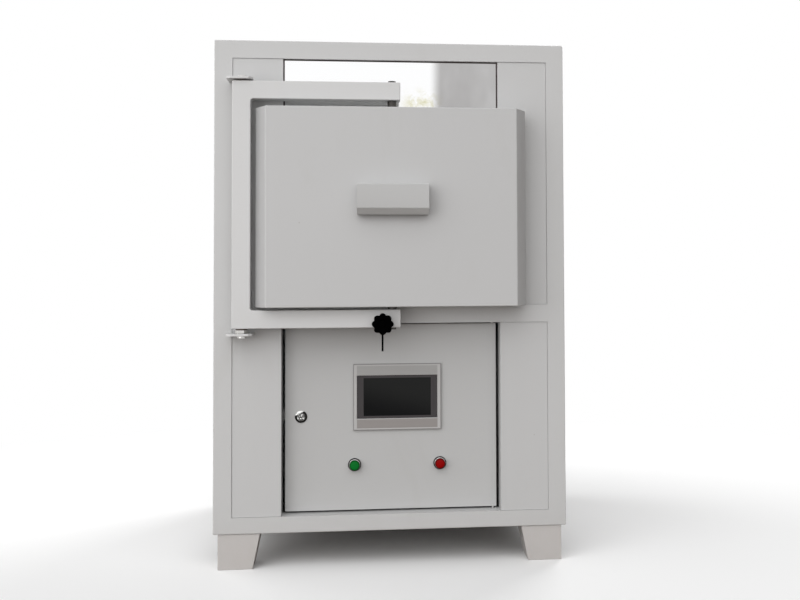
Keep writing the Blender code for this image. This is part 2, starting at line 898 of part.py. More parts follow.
def make_door():
    """Tapered sheet door filled with fibre, its plug, handle, pivot bolts and spacers."""
    half = door_width / 2
    back = -door_stand
    front = -(door_stand + door_depth)
    low = chamber_centre - door_height / 2
    high = chamber_centre + door_height / 2

    def plan(inset):
        """Plan outline of the door drawn in by inset, open edges at the back."""
        return [
            (inset - half, back), (inset - half, back - door_edge),
            (inset + door_taper - half, front + inset), (half - door_taper - inset, front + inset),
            (half - inset, back - door_edge), (half - inset, back),
        ]

    mesh_data = bmesh.new()
    add_prism(mesh_data, plan(0), "z", low, high)
    shell = finish("door_shell", mesh_data, paint, 0.42, 0.0, "door")
    round_edges(shell, edge_round)
    hollow = bmesh.new()
    inner = plan(door_sheet)
    inner[0] = (inner[0][0], back + overrun)
    inner[-1] = (inner[-1][0], back + overrun)
    add_prism(hollow, inner, "z", low + door_sheet, high - door_sheet)
    cut(shell, "door_hollow_cutter", hollow, "door")
    bores = bmesh.new()
    bore = pivot_radius + gap
    rod(bores, bore, "z", 0, arm_axis_y, high - door_sheet - overrun, high + overrun, 16)
    rod(bores, bore, "z", 0, arm_axis_y, low - overrun, low + door_sheet + overrun, 16)
    cut(shell, "door_bores_cutter", bores, "door")

    fill = bmesh.new()
    add_prism(fill, plan(door_sheet + gap), "z", low + door_sheet + gap, high - door_sheet - gap)
    filling = finish("door_insulation", fill, fibre, 0.95, 0.0, "door")
    pockets = bmesh.new()
    rod(
        pockets, bore, "z", 0, arm_axis_y,
        high - door_sheet - pivot_seat - gap, high + overrun, 16,
    )
    rod(
        pockets, bore, "z", 0, arm_axis_y,
        low - overrun, low + door_sheet + pivot_seat + gap, 16,
    )
    cut(filling, "insulation_pocket_cutter", pockets, "door")
    seal_back = mouth_recess - seal_gap
    seal = bmesh.new()
    add_box(
        seal,
        (-seal_width / 2, back - overrun, chamber_centre - seal_height / 2),
        (seal_width / 2, seal_back, chamber_centre + seal_height / 2),
    )
    unite(filling, finish("door_seal_land", seal, fibre, 0.95, 0.0, "door"))
    plug = bmesh.new()
    rings = []
    for y, draw in ((seal_back + gap, 0), (seal_back + plug_depth, plug_draft)):
        across = chamber_width / 2 - plug_clearance - draw
        up = chamber_height / 2 - plug_clearance - draw
        rings.append([
            plug.verts.new((x, y, chamber_centre + z))
            for x, z in ((-across, -up), (across, -up), (across, up), (-across, up))
        ])
    plug.faces.new(rings[0])
    plug.faces.new(rings[1])
    for index in range(4):
        after = (index + 1) % 4
        plug.faces.new((rings[0][index], rings[0][after], rings[1][after], rings[1][index]))
    finish("door_plug", plug, fibre, 0.95, 0.0, "door")

    start = front - gap
    reach = front - handle_reach
    outline = [
        (start, handle_high), (reach + edge_round, handle_high), (reach, handle_high - edge_round),
        (reach, handle_low + handle_lip), (reach + handle_lip, handle_low),
        (reach + handle_lip + handle_sheet, handle_low), (reach + handle_sheet, handle_low + handle_lip),
        (reach + handle_sheet, handle_high - handle_sheet), (start, handle_high - handle_sheet),
    ]
    grip = bmesh.new()
    add_prism(grip, outline, "x", -handle_width / 2, handle_width / 2)
    ends = bmesh.new()
    for side in (-1, 1):
        end_outline = [
            (start, handle_high - handle_sheet / 2),
            (reach + handle_sheet / 2, handle_high - handle_sheet / 2),
            (reach + handle_sheet / 2, handle_low + handle_lip),
            (reach + handle_lip + handle_sheet / 2, handle_low + handle_sheet / 2),
            (start, handle_low + handle_sheet / 2),
        ]
        inner_x = side * (handle_width / 2 - handle_sheet)
        add_prism(ends, end_outline, "x", inner_x, side * (handle_width / 2 - gap))
    handle = finish("door_handle", grip, paint, 0.42, 0.0, "door")
    unite(handle, finish("handle_end_plates", ends, paint, 0.42, 0.0, "door"))

    rod_piece(
        "door_pivot_top",
        [
            (0, high - door_sheet - pivot_seat), (pivot_radius, high - door_sheet - pivot_seat),
            (pivot_radius, arm_top + gap), (pivot_head_radius, arm_top + gap),
            (pivot_head_radius, arm_top + gap + pivot_head), (0, arm_top + gap + pivot_head),
        ],
        "z", 0, arm_axis_y, 16, steel, 0.3, 1.0, "door",
    )
    rod_piece(
        "door_pivot_bottom",
        [
            (0, low + door_sheet + pivot_seat), (pivot_radius, low + door_sheet + pivot_seat),
            (pivot_radius, arm_bottom - gap), (pivot_head_radius, arm_bottom - gap),
            (pivot_head_radius, arm_bottom - gap - pivot_head), (0, arm_bottom - gap - pivot_head),
        ],
        "z", 0, arm_axis_y, 16, steel, 0.3, 1.0, "door",
    )
    spans = {
        "pivot_spacer_top": (high + gap, arm_top - arm_tube - gap),
        "pivot_spacer_bottom": (arm_bottom + arm_tube + gap, low - gap),
    }
    bore = pivot_radius + gap
    for name, (bottom, top) in spans.items():
        rod_piece(
            name, [(spacer_radius, bottom), (spacer_radius, top), (bore, top), (bore, bottom)],
            "z", 0, arm_axis_y, 20, steel, 0.35, 1.0, "door",
        )


knob_lobes = 8
lobe_depth_share = 0.16
knob_ring_shares = ((0.92, 0.0), (1.0, 0.2), (1.0, 0.65), (0.88, 0.9), (0.62, 1.0))
hub_radius = 0.011
hub_length = knob_stand - clamp_travel - gap
keeper_depth = 0.012
keeper_half_width = 0.014
keeper_low = 0.4575
keeper_high = 0.4760
keeper_slot = 0.0062
pin_radius = 0.0021
pin_bottom = 0.4030
screw_point_share = 0.6
screw_point_height_share = 0.5


def make_clamp():
    """Clamp screw through the arm, its star knob, its stop pin and the forked keeper."""
    knob_back = -(arm_stand + arm_tube + knob_stand)
    rod_piece(
        "clamp_screw",
        [
            (0, -screw_stand), (screw_radius * screw_point_share, -screw_stand),
            (screw_radius, -screw_stand - screw_radius * screw_point_height_share),
            (screw_radius, knob_back - knob_thickness / 2), (0, knob_back - knob_thickness / 2),
        ],
        "y", screw_across, screw_height, 16, steel, 0.3, 1.0, "clamp",
    )
    count = knob_lobes * 6
    outline = []
    for step in range(count):
        angle = 2 * math.pi * step / count
        wave = abs(math.cos(knob_lobes * angle / 2))
        radius = knob_radius * (1 - lobe_depth_share * (1 - wave))
        outline.append((radius * math.cos(angle), radius * math.sin(angle)))
    knob = bmesh.new()
    rings = []
    for share, depth_share in knob_ring_shares:
        y = knob_back - knob_thickness * depth_share
        rings.append([
            knob.verts.new((screw_across + share * x, y, screw_height + share * z)) for x, z in outline
        ])
    knob.faces.new(rings[0])
    knob.faces.new(rings[-1])
    for first, second in zip(rings, rings[1:]):
        for index in range(count):
            after = (index + 1) % count
            knob.faces.new((first[index], first[after], second[after], second[index]))
    star = finish("star_knob", knob, black, 0.35, 0.0, "knob", smooth=40)
    hub = bmesh.new()
    rod(
        hub, hub_radius, "y", screw_across, screw_height,
        knob_back - knob_thickness / 4, knob_back + hub_length, 20,
    )
    unite(star, finish("knob_hub", hub, black, 0.35, 0.0, "knob"))
    bore = bmesh.new()
    rod(
        bore, screw_radius + gap, "y", screw_across, screw_height,
        knob_back - knob_thickness / 2 - gap, knob_back + hub_length + overrun, 16,
    )
    cut(star, "knob_bore_cutter", bore, "knob")

    left = screw_across - keeper_half_width
    right = screw_across + keeper_half_width
    fork_outline = [
        (left, keeper_low), (left, keeper_high), (right, keeper_high), (right, keeper_low),
        (screw_across + keeper_slot, keeper_low),
        (screw_across + keeper_slot, screw_height + keeper_slot),
        (screw_across - keeper_slot, screw_height + keeper_slot),
        (screw_across - keeper_slot, keeper_low),
    ]
    fork = bmesh.new()
    add_prism(fork, fork_outline, "y", -keeper_depth, -gap)
    finish("clamp_keeper", fork, steel, 0.5, 1.0)
    rod_piece(
        "clamp_stop_pin",
        [(0, pin_bottom), (pin_radius, pin_bottom), (pin_radius, arm_bottom - gap), (0, arm_bottom - gap)],
        "z", screw_across, -(arm_stand + arm_tube - arm_wall * 2), 12, black, 0.4, 0.3, "arm",
    )


panel_width = 0.200
panel_height = 0.150
panel_middle = 0.2945
panel_stand = 0.006
panel_round = 0.003
glass_width = 0.182
glass_height = 0.097
glass_sink = 0.0012
housing_width = 0.184
housing_height = 0.136
housing_depth = 0.032
button_spread = 0.0968
button_middle = 0.1420
button_hole = 0.011
ring_radius = 0.0148
ring_height = 0.010
ring_shoulder_share = 0.35
cap_radius = 0.0115
cap_reach = 0.015
cap_travel = 0.004
block_side = 0.026
block_depth = 0.036
lock_x = -0.2042
lock_z = 0.2523
lock_ring_radius = 0.0140
lock_ring_height = 0.003
lock_core_radius = 0.0085
lock_body_depth = infill_recess + jamb_depth + 2 * gap - control_recess
cam_length = 0.039
cam_width = 0.012
cam_sheet = 0.003
lock_lip_share = 0.6
lock_lip_radius_share = 0.85
lock_core_share = 0.8
key_slot_share = 0.6
key_slot_height_share = 0.28


def make_control_door():
    """Recessed tray door with its cut-outs, and the pins it swings on."""
    face = control_recess
    mesh_data = bmesh.new()
    add_tray(
        mesh_data, (-control_half, face, control_low),
        (control_half, face + control_flange, control_high), shell_sheet,
    )
    door = finish("control_door", mesh_data, paint, 0.42, 0.0, "control")
    holes = bmesh.new()
    add_box(
        holes,
        (control_centre - housing_width / 2 - gap, face - overrun, panel_middle - housing_height / 2 - gap),
        (control_centre + housing_width / 2 + gap, face + overrun, panel_middle + housing_height / 2 + gap),
    )
    for side in (-1, 1):
        rod(
            holes, button_hole + gap, "y", control_centre + side * button_spread, button_middle,
            face - overrun, face + overrun, 20,
        )
    rod(holes, lock_core_radius + 3 * gap, "y", lock_x, lock_z, face - overrun, face + overrun, 20)
    pin_hole = hinge_pin_radius + gap
    rod(holes, pin_hole, "z", hinge_x, hinge_y, control_high - overrun, control_high + overrun, 12)
    rod(holes, pin_hole, "z", hinge_x, hinge_y, control_low - overrun, control_low + overrun, 12)
    cut(door, "control_holes_cutter", holes, "control")
    spans = {
        "control_hinge_pin_top": (control_high - hinge_pin_reach, mid_rail_bottom + hinge_pin_seat - gap),
        "control_hinge_pin_bottom": (bottom_rail - hinge_pin_seat + gap, control_low + hinge_pin_reach),
    }
    for name, (bottom, top) in spans.items():
        rod_piece(
            name, [(0, bottom), (hinge_pin_radius, bottom), (hinge_pin_radius, top), (0, top)],
            "z", hinge_x, hinge_y, 12, steel, 0.35, 1.0,
        )


def make_panel():
    """Touch panel: front bezel, glass and the housing behind the door."""
    face = control_recess
    x, z = control_centre, panel_middle
    bezel = box_piece(
        "panel_bezel",
        (x - panel_width / 2, face - gap - panel_stand, z - panel_height / 2),
        (x + panel_width / 2, face - gap, z + panel_height / 2),
        bezel_grey, 0.45, 0.1, "control",
    )
    round_edges(bezel, panel_round)
    window = bmesh.new()
    add_box(
        window,
        (x - glass_width / 2 - gap, face - panel_stand - overrun, z - glass_height / 2 - gap),
        (x + glass_width / 2 + gap, face + overrun, z + glass_height / 2 + gap),
    )
    cut(bezel, "bezel_window_cutter", window, "control")
    box_piece(
        "panel_glass",
        (x - glass_width / 2, face - gap - panel_stand + glass_sink, z - glass_height / 2),
        (x + glass_width / 2, face - gap, z + glass_height / 2),
        black, 0.1, 0.0, "control",
    )
    housing = box_piece(
        "panel_housing",
        (x - housing_width / 2, face, z - housing_height / 2),
        (x + housing_width / 2, face + housing_depth, z + housing_height / 2),
        charcoal, 0.6, 0.0, "control",
    )
    round_edges(housing, edge_round, 1)


def make_buttons():
    """Two push-buttons: chrome rings, caps that travel, and contact blocks behind the door."""
    face = control_recess
    neck = face + shell_sheet + gap
    colours = {"power": (-1, (0.01, 0.30, 0.06)), "heating": (1, (0.42, 0.01, 0.01))}
    wall = 3 * gap
    cap_bore = cap_radius + gap
    for name, (side, colour) in colours.items():
        x = control_centre + side * button_spread
        rod_piece(
            name + "_button_ring",
            [
                (ring_radius, face - gap), (ring_radius, face - ring_height * ring_shoulder_share),
                (cap_bore + wall, face - ring_height), (cap_bore, face - ring_height), (cap_bore, face - gap),
            ],
            "y", x, button_middle, 28, (0.75, 0.75, 0.75), 0.15, 1.0, "control",
        )
        back = face - gap - cap_travel - gap
        rod_piece(
            name + "_button",
            [
                (0, back), (cap_radius, back), (cap_radius, face - cap_reach + wall),
                (cap_radius - wall, face - cap_reach), (0, face - cap_reach),
            ],
            "y", x, button_middle, 24, colour, 0.35, 0.0, name,
        )
        block = rod_piece(
            name + "_contact_block",
            [(0, face - gap), (button_hole, face - gap), (button_hole, neck + overrun), (0, neck + overrun)],
            "y", x, button_middle, 20, charcoal, 0.6, 0.0, "control",
        )
        body = bmesh.new()
        add_box(
            body,
            (x - block_side / 2, neck, button_middle - block_side / 2),
            (x + block_side / 2, face + shell_sheet + block_depth, button_middle + block_side / 2),
        )
        unite(block, finish(name + "_block_body", body, charcoal, 0.6, 0.0, "control"))


def make_lock():
    """Cam lock: fixed ring, and the core that turns with its cam."""
    face = control_recess
    ring_bore = lock_core_radius + gap
    rod_piece(
        "lock_ring",
        [
            (lock_ring_radius, face - gap), (lock_ring_radius, face - lock_ring_height * lock_lip_share),
            (lock_ring_radius * lock_lip_radius_share, face - lock_ring_height),
            (ring_bore, face - lock_ring_height),
            (ring_bore, face - gap),
        ],
        "y", lock_x, lock_z, 28, (0.7, 0.7, 0.7), 0.2, 1.0, "control",
    )
    back = face + lock_body_depth
    core = bmesh.new()
    add_turned(
        core,
        [
            (0, face - lock_ring_height * lock_core_share),
            (lock_core_radius, face - lock_ring_height * lock_core_share),
            (lock_core_radius, back + cam_sheet), (0, back + cam_sheet),
        ],
        "y", lock_x, lock_z, 20,
    )
    core_object = finish("lock_core", core, (0.55, 0.55, 0.55), 0.3, 1.0, "lock", smooth=35)
    cam = bmesh.new()
    add_box(
        cam,
        (lock_x - cam_width / 2, back, lock_z),
        (lock_x + cam_width / 2, back + cam_sheet, lock_z + cam_length),
    )
    unite(core_object, finish("lock_cam", cam, steel, 0.3, 1.0, "lock"))
    slot = bmesh.new()
    bit = lock_core_radius * key_slot_height_share
    reach = lock_core_radius * key_slot_share
    add_box(
        slot,
        (lock_x - reach, face - lock_ring_height - overrun, lock_z - bit),
        (lock_x + reach, face + lock_ring_height, lock_z + bit),
    )
    cut(core_object, "lock_slot_cutter", slot, "lock")


plate_setback = 0.330
plate_thickness = 0.003
device_spread = 0.110
breaker_width = 0.054
device_height = 0.085
device_depth = 0.070
device_step = 0.042
regulator_rise = 0.050
regulator_width = 0.120
regulator_height = 0.130
fin_count = 8
fin_thickness = 0.003
fin_depth = 0.045
plate_half = 0.330
plate_low = shell_sheet + gap
plate_high = mid_rail_bottom - gap


def make_equipment():
    """Mounting plate in the control compartment with the breaker and the power regulator."""
    front = plate_setback
    box_piece(
        "equipment_plate", (-plate_half, front, plate_low),
        (plate_half, front + plate_thickness, plate_high), (0.75, 0.75, 0.72), 0.4, 0.6,
    )
    rail_z = plate_high - device_height
    device_back = front - gap
    outline = [
        (device_back, rail_z - device_height / 2), (device_back, rail_z + device_height / 2),
        (device_back - device_step, rail_z + device_height / 2),
        (device_back - device_step, rail_z + device_height / 4),
        (device_back - device_depth, rail_z + device_height / 4),
        (device_back - device_depth, rail_z - device_height / 4),
        (device_back - device_step, rail_z - device_height / 4),
        (device_back - device_step, rail_z - device_height / 2),
    ]
    breaker = bmesh.new()
    add_prism(breaker, outline, "x", -device_spread - breaker_width / 2, breaker_width / 2 - device_spread)
    finish("circuit_breaker", breaker, (0.55, 0.55, 0.55), 0.6, 0.0)
    regulator = bmesh.new()
    low = plate_low + regulator_rise
    base = front - gap
    steps = [(-regulator_width / 2, base), (-regulator_width / 2, base - fin_depth)]
    pitch = (regulator_width - fin_thickness) / (fin_count - 1)
    for index in range(fin_count):
        left = -regulator_width / 2 + index * pitch
        if index:
            steps.append((left, base - fin_thickness * 2))
            steps.append((left, base - fin_depth))
        steps.append((left + fin_thickness, base - fin_depth))
        if index < fin_count - 1:
            steps.append((left + fin_thickness, base - fin_thickness * 2))
    steps.append((regulator_width / 2, base))
    add_prism(regulator, steps, "z", low, low + regulator_height)
    finish("regulator_heat_sink", regulator, (0.5, 0.5, 0.5), 0.4, 1.0)


body_empty("arm", arm_axis_x, arm_axis_y, arm_bottom)
body_empty("door", 0, arm_axis_y, chamber_centre, "arm")
body_empty("clamp", screw_across, -screw_stand, screw_height, "arm")
body_empty("knob", screw_across, -screw_stand, screw_height, "clamp")
body_empty("control", hinge_x, hinge_y, control_low)
body_empty("lock", lock_x, control_recess, lock_z, "control")
body_empty("power", control_centre - button_spread, control_recess, button_middle, "control")
body_empty("heating", control_centre + button_spread, control_recess, button_middle, "control")

make_shell()
make_frame()
make_infills()
make_mouth()
make_chamber()
make_elements()
make_rear()
make_feet()
make_hinge()
make_arm()
make_door()
make_clamp()
make_control_door()
make_panel()
make_buttons()
make_lock()
make_equipment()
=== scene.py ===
import bpy
import bmesh
import json
import math
import numpy as np
from mathutils import Matrix, Vector


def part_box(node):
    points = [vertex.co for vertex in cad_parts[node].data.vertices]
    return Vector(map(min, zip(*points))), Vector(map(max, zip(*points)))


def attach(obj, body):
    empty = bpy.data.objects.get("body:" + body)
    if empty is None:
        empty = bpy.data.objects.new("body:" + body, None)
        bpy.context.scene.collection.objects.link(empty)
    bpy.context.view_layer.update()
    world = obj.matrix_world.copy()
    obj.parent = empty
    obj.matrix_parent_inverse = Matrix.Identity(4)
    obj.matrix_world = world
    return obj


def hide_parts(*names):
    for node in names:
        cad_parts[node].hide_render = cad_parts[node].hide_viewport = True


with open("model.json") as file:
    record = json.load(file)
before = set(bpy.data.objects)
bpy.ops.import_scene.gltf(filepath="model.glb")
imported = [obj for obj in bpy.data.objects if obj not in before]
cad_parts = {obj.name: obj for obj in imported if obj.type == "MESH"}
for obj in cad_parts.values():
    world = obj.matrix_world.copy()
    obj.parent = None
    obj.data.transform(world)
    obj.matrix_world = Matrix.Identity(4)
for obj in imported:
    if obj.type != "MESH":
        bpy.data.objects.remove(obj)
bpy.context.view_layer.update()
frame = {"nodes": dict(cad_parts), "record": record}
nodes = frame["nodes"]
bodies = frame["record"]["behaviour"]["bodies"]
bodyOf = {node: body for body, members in bodies.items() for node in members}
print("frame loaded:", len(nodes), "nodes")


# camera and lamps

cameraSettings = {
    "place": (-0.0698, -2.9629, 0.6500),
    "yaw": 0.1121,
    "pitch": 0.0353,
    "roll": -0.0049,
    "focalPixels": 1150.0,
    "centre": (490.1, 233.7),     # where the photo's viewing axis meets the picture, in pixels
    "imageWidth": 800,
    "imageHeight": 600,
    "sensor": 36.0,
    "clipEnd": 50.0,
}


def makeCamera(settings):
    yaw, pitch, roll = settings["yaw"], settings["pitch"], settings["roll"]
    forward = Vector((math.sin(yaw) * math.cos(pitch), math.cos(yaw) * math.cos(pitch), math.sin(pitch)))
    right = forward.cross(Vector((0, 0, 1))).normalized()
    up = right.cross(forward)
    turnedRight = right * math.cos(roll) + up * math.sin(roll)
    turnedUp = up * math.cos(roll) - right * math.sin(roll)
    data = bpy.data.cameras.new("photoCamera")
    data.sensor_width = settings["sensor"]
    data.lens = settings["focalPixels"] * settings["sensor"] / settings["imageWidth"]
    data.shift_x = (settings["imageWidth"] / 2 - settings["centre"][0]) / settings["imageWidth"]
    data.shift_y = (settings["centre"][1] - settings["imageHeight"] / 2) / settings["imageWidth"]
    data.clip_end = settings["clipEnd"]
    camera = bpy.data.objects.new("photoCamera", data)
    rotation = Matrix((turnedRight, turnedUp, -forward)).transposed()
    camera.matrix_world = Matrix.Translation(settings["place"]) @ rotation.to_4x4()
    bpy.context.scene.collection.objects.link(camera)
    bpy.context.scene.camera = camera


lightSettings = {
    "baseLevel": 0.05,                  # light from every side
    "lobeLevel": 1.94,                  # added light where it comes from, fading away round it
    "lobeFrom": (-0.430, -0.850, 0.300),
    "lamps": {                          # place, aimed at, size, watts
        "keyLamp": ((-1.7, -3.3, 2.9), (0, -0.3, 0.7), (2.4, 2.0), 12),
        "lowFill": ((-1.9, -2.6, 0.50), (-0.1, -0.4, 0.45), (1.5, 1.0), 10),
        "rearLamp": ((1.9, 2.9, 2.3), (0, 0.1, 0.6), (2.0, 1.8), 85),
        "rearFill": ((-2.4, 1.8, 1.4), (0, 0.1, 0.5), (1.8, 1.8), 30),
    },
}


def makeLamps(settings):
    for name, (place, target, size, power) in settings["lamps"].items():
        data = bpy.data.lights.new(name, "AREA")
        data.shape = "RECTANGLE"
        data.size, data.size_y = size
        data.energy = power
        made = bpy.data.objects.new(name, data)
        made.location = place
        made.rotation_euler = (Vector(target) - Vector(place)).to_track_quat("-Z", "Y").to_euler()
        bpy.context.scene.collection.objects.link(made)


# shader maths: Wire holds one output socket, and expressions on it add Math nodes

class Wire:
    def __init__(self, tree, socket):
        self.tree = tree
        self.socket = socket

    def maths(self, operation, *values):
        return self.tree.node("ShaderNodeMath", {"operation": operation}, dict(enumerate(values)))

    def __add__(self, other):
        return self.maths("ADD", self, other)

    def __radd__(self, other):
        return self.maths("ADD", other, self)

    def __sub__(self, other):
        return self.maths("SUBTRACT", self, other)

    def __rsub__(self, other):
        return self.maths("SUBTRACT", other, self)

    def __mul__(self, other):
        return self.maths("MULTIPLY", self, other)

    def __rmul__(self, other):
        return self.maths("MULTIPLY", other, self)

    def __truediv__(self, other):
        return self.maths("DIVIDE", self, other)

    def __rtruediv__(self, other):
        return self.maths("DIVIDE", other, self)

    def __pow__(self, other):
        return self.maths("POWER", self, other)

    def __abs__(self):
        return self.maths("ABSOLUTE", self)

    def root(self):
        return self.maths("SQRT", self)

    def sine(self):
        return self.maths("SINE", self)

    def atLeast(self, other):
        return self.maths("MAXIMUM", self, other)

    def atMost(self, other):
        return self.maths("MINIMUM", self, other)

    def beside(self, output):
        # another output of the same node
        return Wire(self.tree, self.socket.node.outputs[output])


class NodeMaker:
    # makes any node in one tree, with its settings and its inputs
    def __init__(self, tree):
        self.tree = tree

    def node(self, kind, settings, sockets, output=0):
        made = self.tree.nodes.new(kind)
        for key, value in settings.items():
            setattr(made, key, value)
        for key, value in sockets.items():
            if isinstance(value, Wire):
                self.tree.links.new(value.socket, made.inputs[key])
            else:
                made.inputs[key].default_value = value
        return Wire(self, made.outputs[output])

    def show(self, wire, kind):
        # the tree's result, on its material or world output
        output = next(n for n in self.tree.nodes if n.type == kind)
        self.tree.links.new(wire.socket, output.inputs["Surface"])


class Finish(NodeMaker):
    # one material, with small recipes built on node()
    def __init__(self, name):
        self.material = bpy.data.materials.new(name)
        self.material.use_nodes = True
        super().__init__(self.material.node_tree)
        self.shader = self.tree.nodes["Principled BSDF"]
        self.space = self.node("ShaderNodeTexCoord", {}, {}, "Object")

    def noise(self, scale, detail=2.0, roughness=0.5, stretch=(1, 1, 1), distortion=0.0):
        placed = self.node("ShaderNodeMapping", {}, {"Vector": self.space, "Scale": stretch})
        sockets = {"Vector": placed, "Scale": scale, "Detail": detail, "Roughness": roughness,
                   "Distortion": distortion}
        return self.node("ShaderNodeTexNoise", {}, sockets)

    def cells(self, scale, output=0):
        # Voronoi cells: the distance to the nearest point, or the cell's colour
        return self.node("ShaderNodeTexVoronoi", {}, {"Vector": self.space, "Scale": scale}, output)

    def axes(self, letters="XZ"):
        split = self.node("ShaderNodeSeparateXYZ", {}, {0: self.space})
        return [split.beside(letter) for letter in letters]

    def offset(self, centre):
        # across and up from a point of the front, seen from the front
        x, z = self.axes()
        return x - centre[0], z - centre[1]

    def reach(self, centre):
        # distance from an axis that runs front to back through centre
        across, up = self.offset(centre)
        return (across * across + up * up).root()

    def between(self, value, low, high):
        # 0 below low, 1 above high, smooth in between
        names = {"Value": value, "From Min": low, "From Max": high, "To Min": 0.0, "To Max": 1.0}
        return self.node("ShaderNodeMapRange", {"interpolation_type": "SMOOTHSTEP"}, names)

    def band(self, value, low, high, soft):
        # 1 from low to high and 0 outside, over an edge of twice soft
        rise = self.between(value, low - soft, low + soft)
        return rise * (1 - self.between(value, high - soft, high + soft))

    def spread(self, value, low, high):
        # a 0 to 1 value carried to low to high
        return value * (high - low) + low

    def blend(self, share, first, second, way="MIX"):
        # inputs 6 and 7 and output 2 are the ones that carry colours
        first, second = (value if isinstance(value, Wire) else (*value, 1.0) for value in (first, second))
        settings = {"data_type": "RGBA", "blend_type": way}
        return self.node("ShaderNodeMix", settings, {0: share, 6: first, 7: second}, 2)

    def bump(self, height, distance, strength, under=None):
        sockets = {"Height": height, "Distance": distance, "Strength": strength}
        if under:
            sockets["Normal"] = under
        return self.node("ShaderNodeBump", {}, sockets)

    def give(self, **sockets):
        names = {"colour": "Base Color", "rough": "Roughness", "metal": "Metallic", "normal": "Normal",
                 "sheen": "Sheen Weight", "specular": "Specular IOR Level"}
        for key, value in sockets.items():
            socket = self.shader.inputs[names[key]]
            if isinstance(value, Wire):
                self.tree.links.new(value.socket, socket)
            else:
                socket.default_value = value
        return self.material


def tone(colour, factor):
    return tuple(min(1.0, part * factor) for part in colour)


# finishes; each noise is given as scale, detail, roughness, stretch and distortion

paintSettings = {
    "cabinetColour": (0.538, 0.538, 0.537),
    # the arm's copy of the grey paint is made lighter than the cabinet's: painted light, for the light
    # falling on the arm
    "armLitColour": (0.600, 0.600, 0.600),
    "doorColour": (0.508, 0.508, 0.509),
    "controlColour": (0.476, 0.476, 0.474),
    "innerColour": (0.524, 0.524, 0.524),
    "footColour": (0.535, 0.516, 0.508),
    "cloud": (2.2, 3.0, 0.55),
    "grain": (160.0, 3.0, 0.6),
    "rubs": (9.0, 5.0, 0.62, (1, 1, 0.35), 0.6),
    "rubTint": (0.98, 0.97, 0.93),
    "chips": (70.0, 2.0, 0.4),
    "chipColour": (0.30, 0.29, 0.27),
    "dust": (24.0, 4.0, 0.6),
    "dustColour": (0.40, 0.37, 0.33),
    "dustHeights": (0.02, 0.16),        # full below the first, none above the second
    "roughNoise": (26.0, 4.0, 0.6),
    "roughLow": 0.36,
    "roughHigh": 0.50,
    "peel": (420.0, 1.0, 0.4),          # orange peel
    "peelHeight": 0.00006,
    "wave": (5.0, 1.0, 0.4),            # slow waviness of the sheet
    "waveHeight": 0.0009,
    "strength": 0.55,
}


def powderPaint(name, colour, dustLevel=0.0):
    # slow clouds of tone, fine grain, rubbed streaks, a few chips, and dust near the floor
    s, f = paintSettings, Finish(name)
    toned = f.blend(f.spread(f.noise(*s["cloud"]), 0.0, 0.55), tone(colour, 0.975), tone(colour, 1.03))
    toned = f.blend(f.between(f.noise(*s["grain"]), 0.60, 0.76) * 0.30, toned, tone(colour, 0.90))
    rubs = f.between(f.noise(*s["rubs"]), 0.56, 0.72)
    rubbed = [part * tint for part, tint in zip(colour, s["rubTint"])]
    toned = f.blend(rubs * 0.16, toned, tone(rubbed, 0.90))
    toned = f.blend(f.between(f.noise(*s["chips"]), 0.795, 0.83) * 0.45, toned, s["chipColour"])
    if dustLevel:
        low = 1 - f.between(f.axes("Z")[0], *s["dustHeights"])
        toned = f.blend(low * f.noise(*s["dust"]) * dustLevel, toned, s["dustColour"])
    rough = f.spread(f.noise(*s["roughNoise"]), s["roughLow"], s["roughHigh"]) + rubs * 0.07
    peel = f.bump(f.noise(*s["peel"]), s["peelHeight"], s["strength"])
    waves = f.bump(f.noise(*s["wave"]), s["waveHeight"], s["strength"], peel)
    return f.give(colour=toned, rough=rough, normal=waves)


plateSettings = {
    "lines": (90.0, 3.0, 0.6, (0.12, 1, 9)),
    "lineHeight": 0.00002,
    "wipe": (5.0, 3.0, 0.5, (1.0, 1, 2.2), 0.4),
    "steelColours": ((0.975, 0.98, 0.985), (1.0, 1.0, 1.0)),
    # painted reflection: a straw tint beside the arm, in blotches
    "reflectionTintColour": (0.66, 0.63, 0.36),   # straw tint beside the arm; level 0 takes it away
    "reflectionTintLevel": 0.8,
    "reflectionTintStart": (0.010, 0.060),
    "reflectionTintEnd": (0.085, 0.125),
    "reflectionTintTop": (1.040, 1.085),
    "reflectionBlotch": (40.0, 3.0, 0.55, (1, 1, 1), 0.3),
    # painted reflection: a soft grey to the right of the tint
    "reflectionGreyColour": (0.26, 0.25, 0.245),   # soft grey to the right of it; level 0 takes it away
    "reflectionGreyLevel": 0.85,
    "reflectionGreyStart": (0.085, 0.115),
    "reflectionGrey": (15.0, 2.0, 0.5, (1, 1, 0.5), 0.3),
    "gapShadeColour": (0.060, 0.045, 0.045),
    "gapShadeDepths": (-0.0034, -0.0022),
    "warp": (7.0, 1.0, 0.4, (1, 1, 0.6)),
    "warpHeight": 0.0012,
}


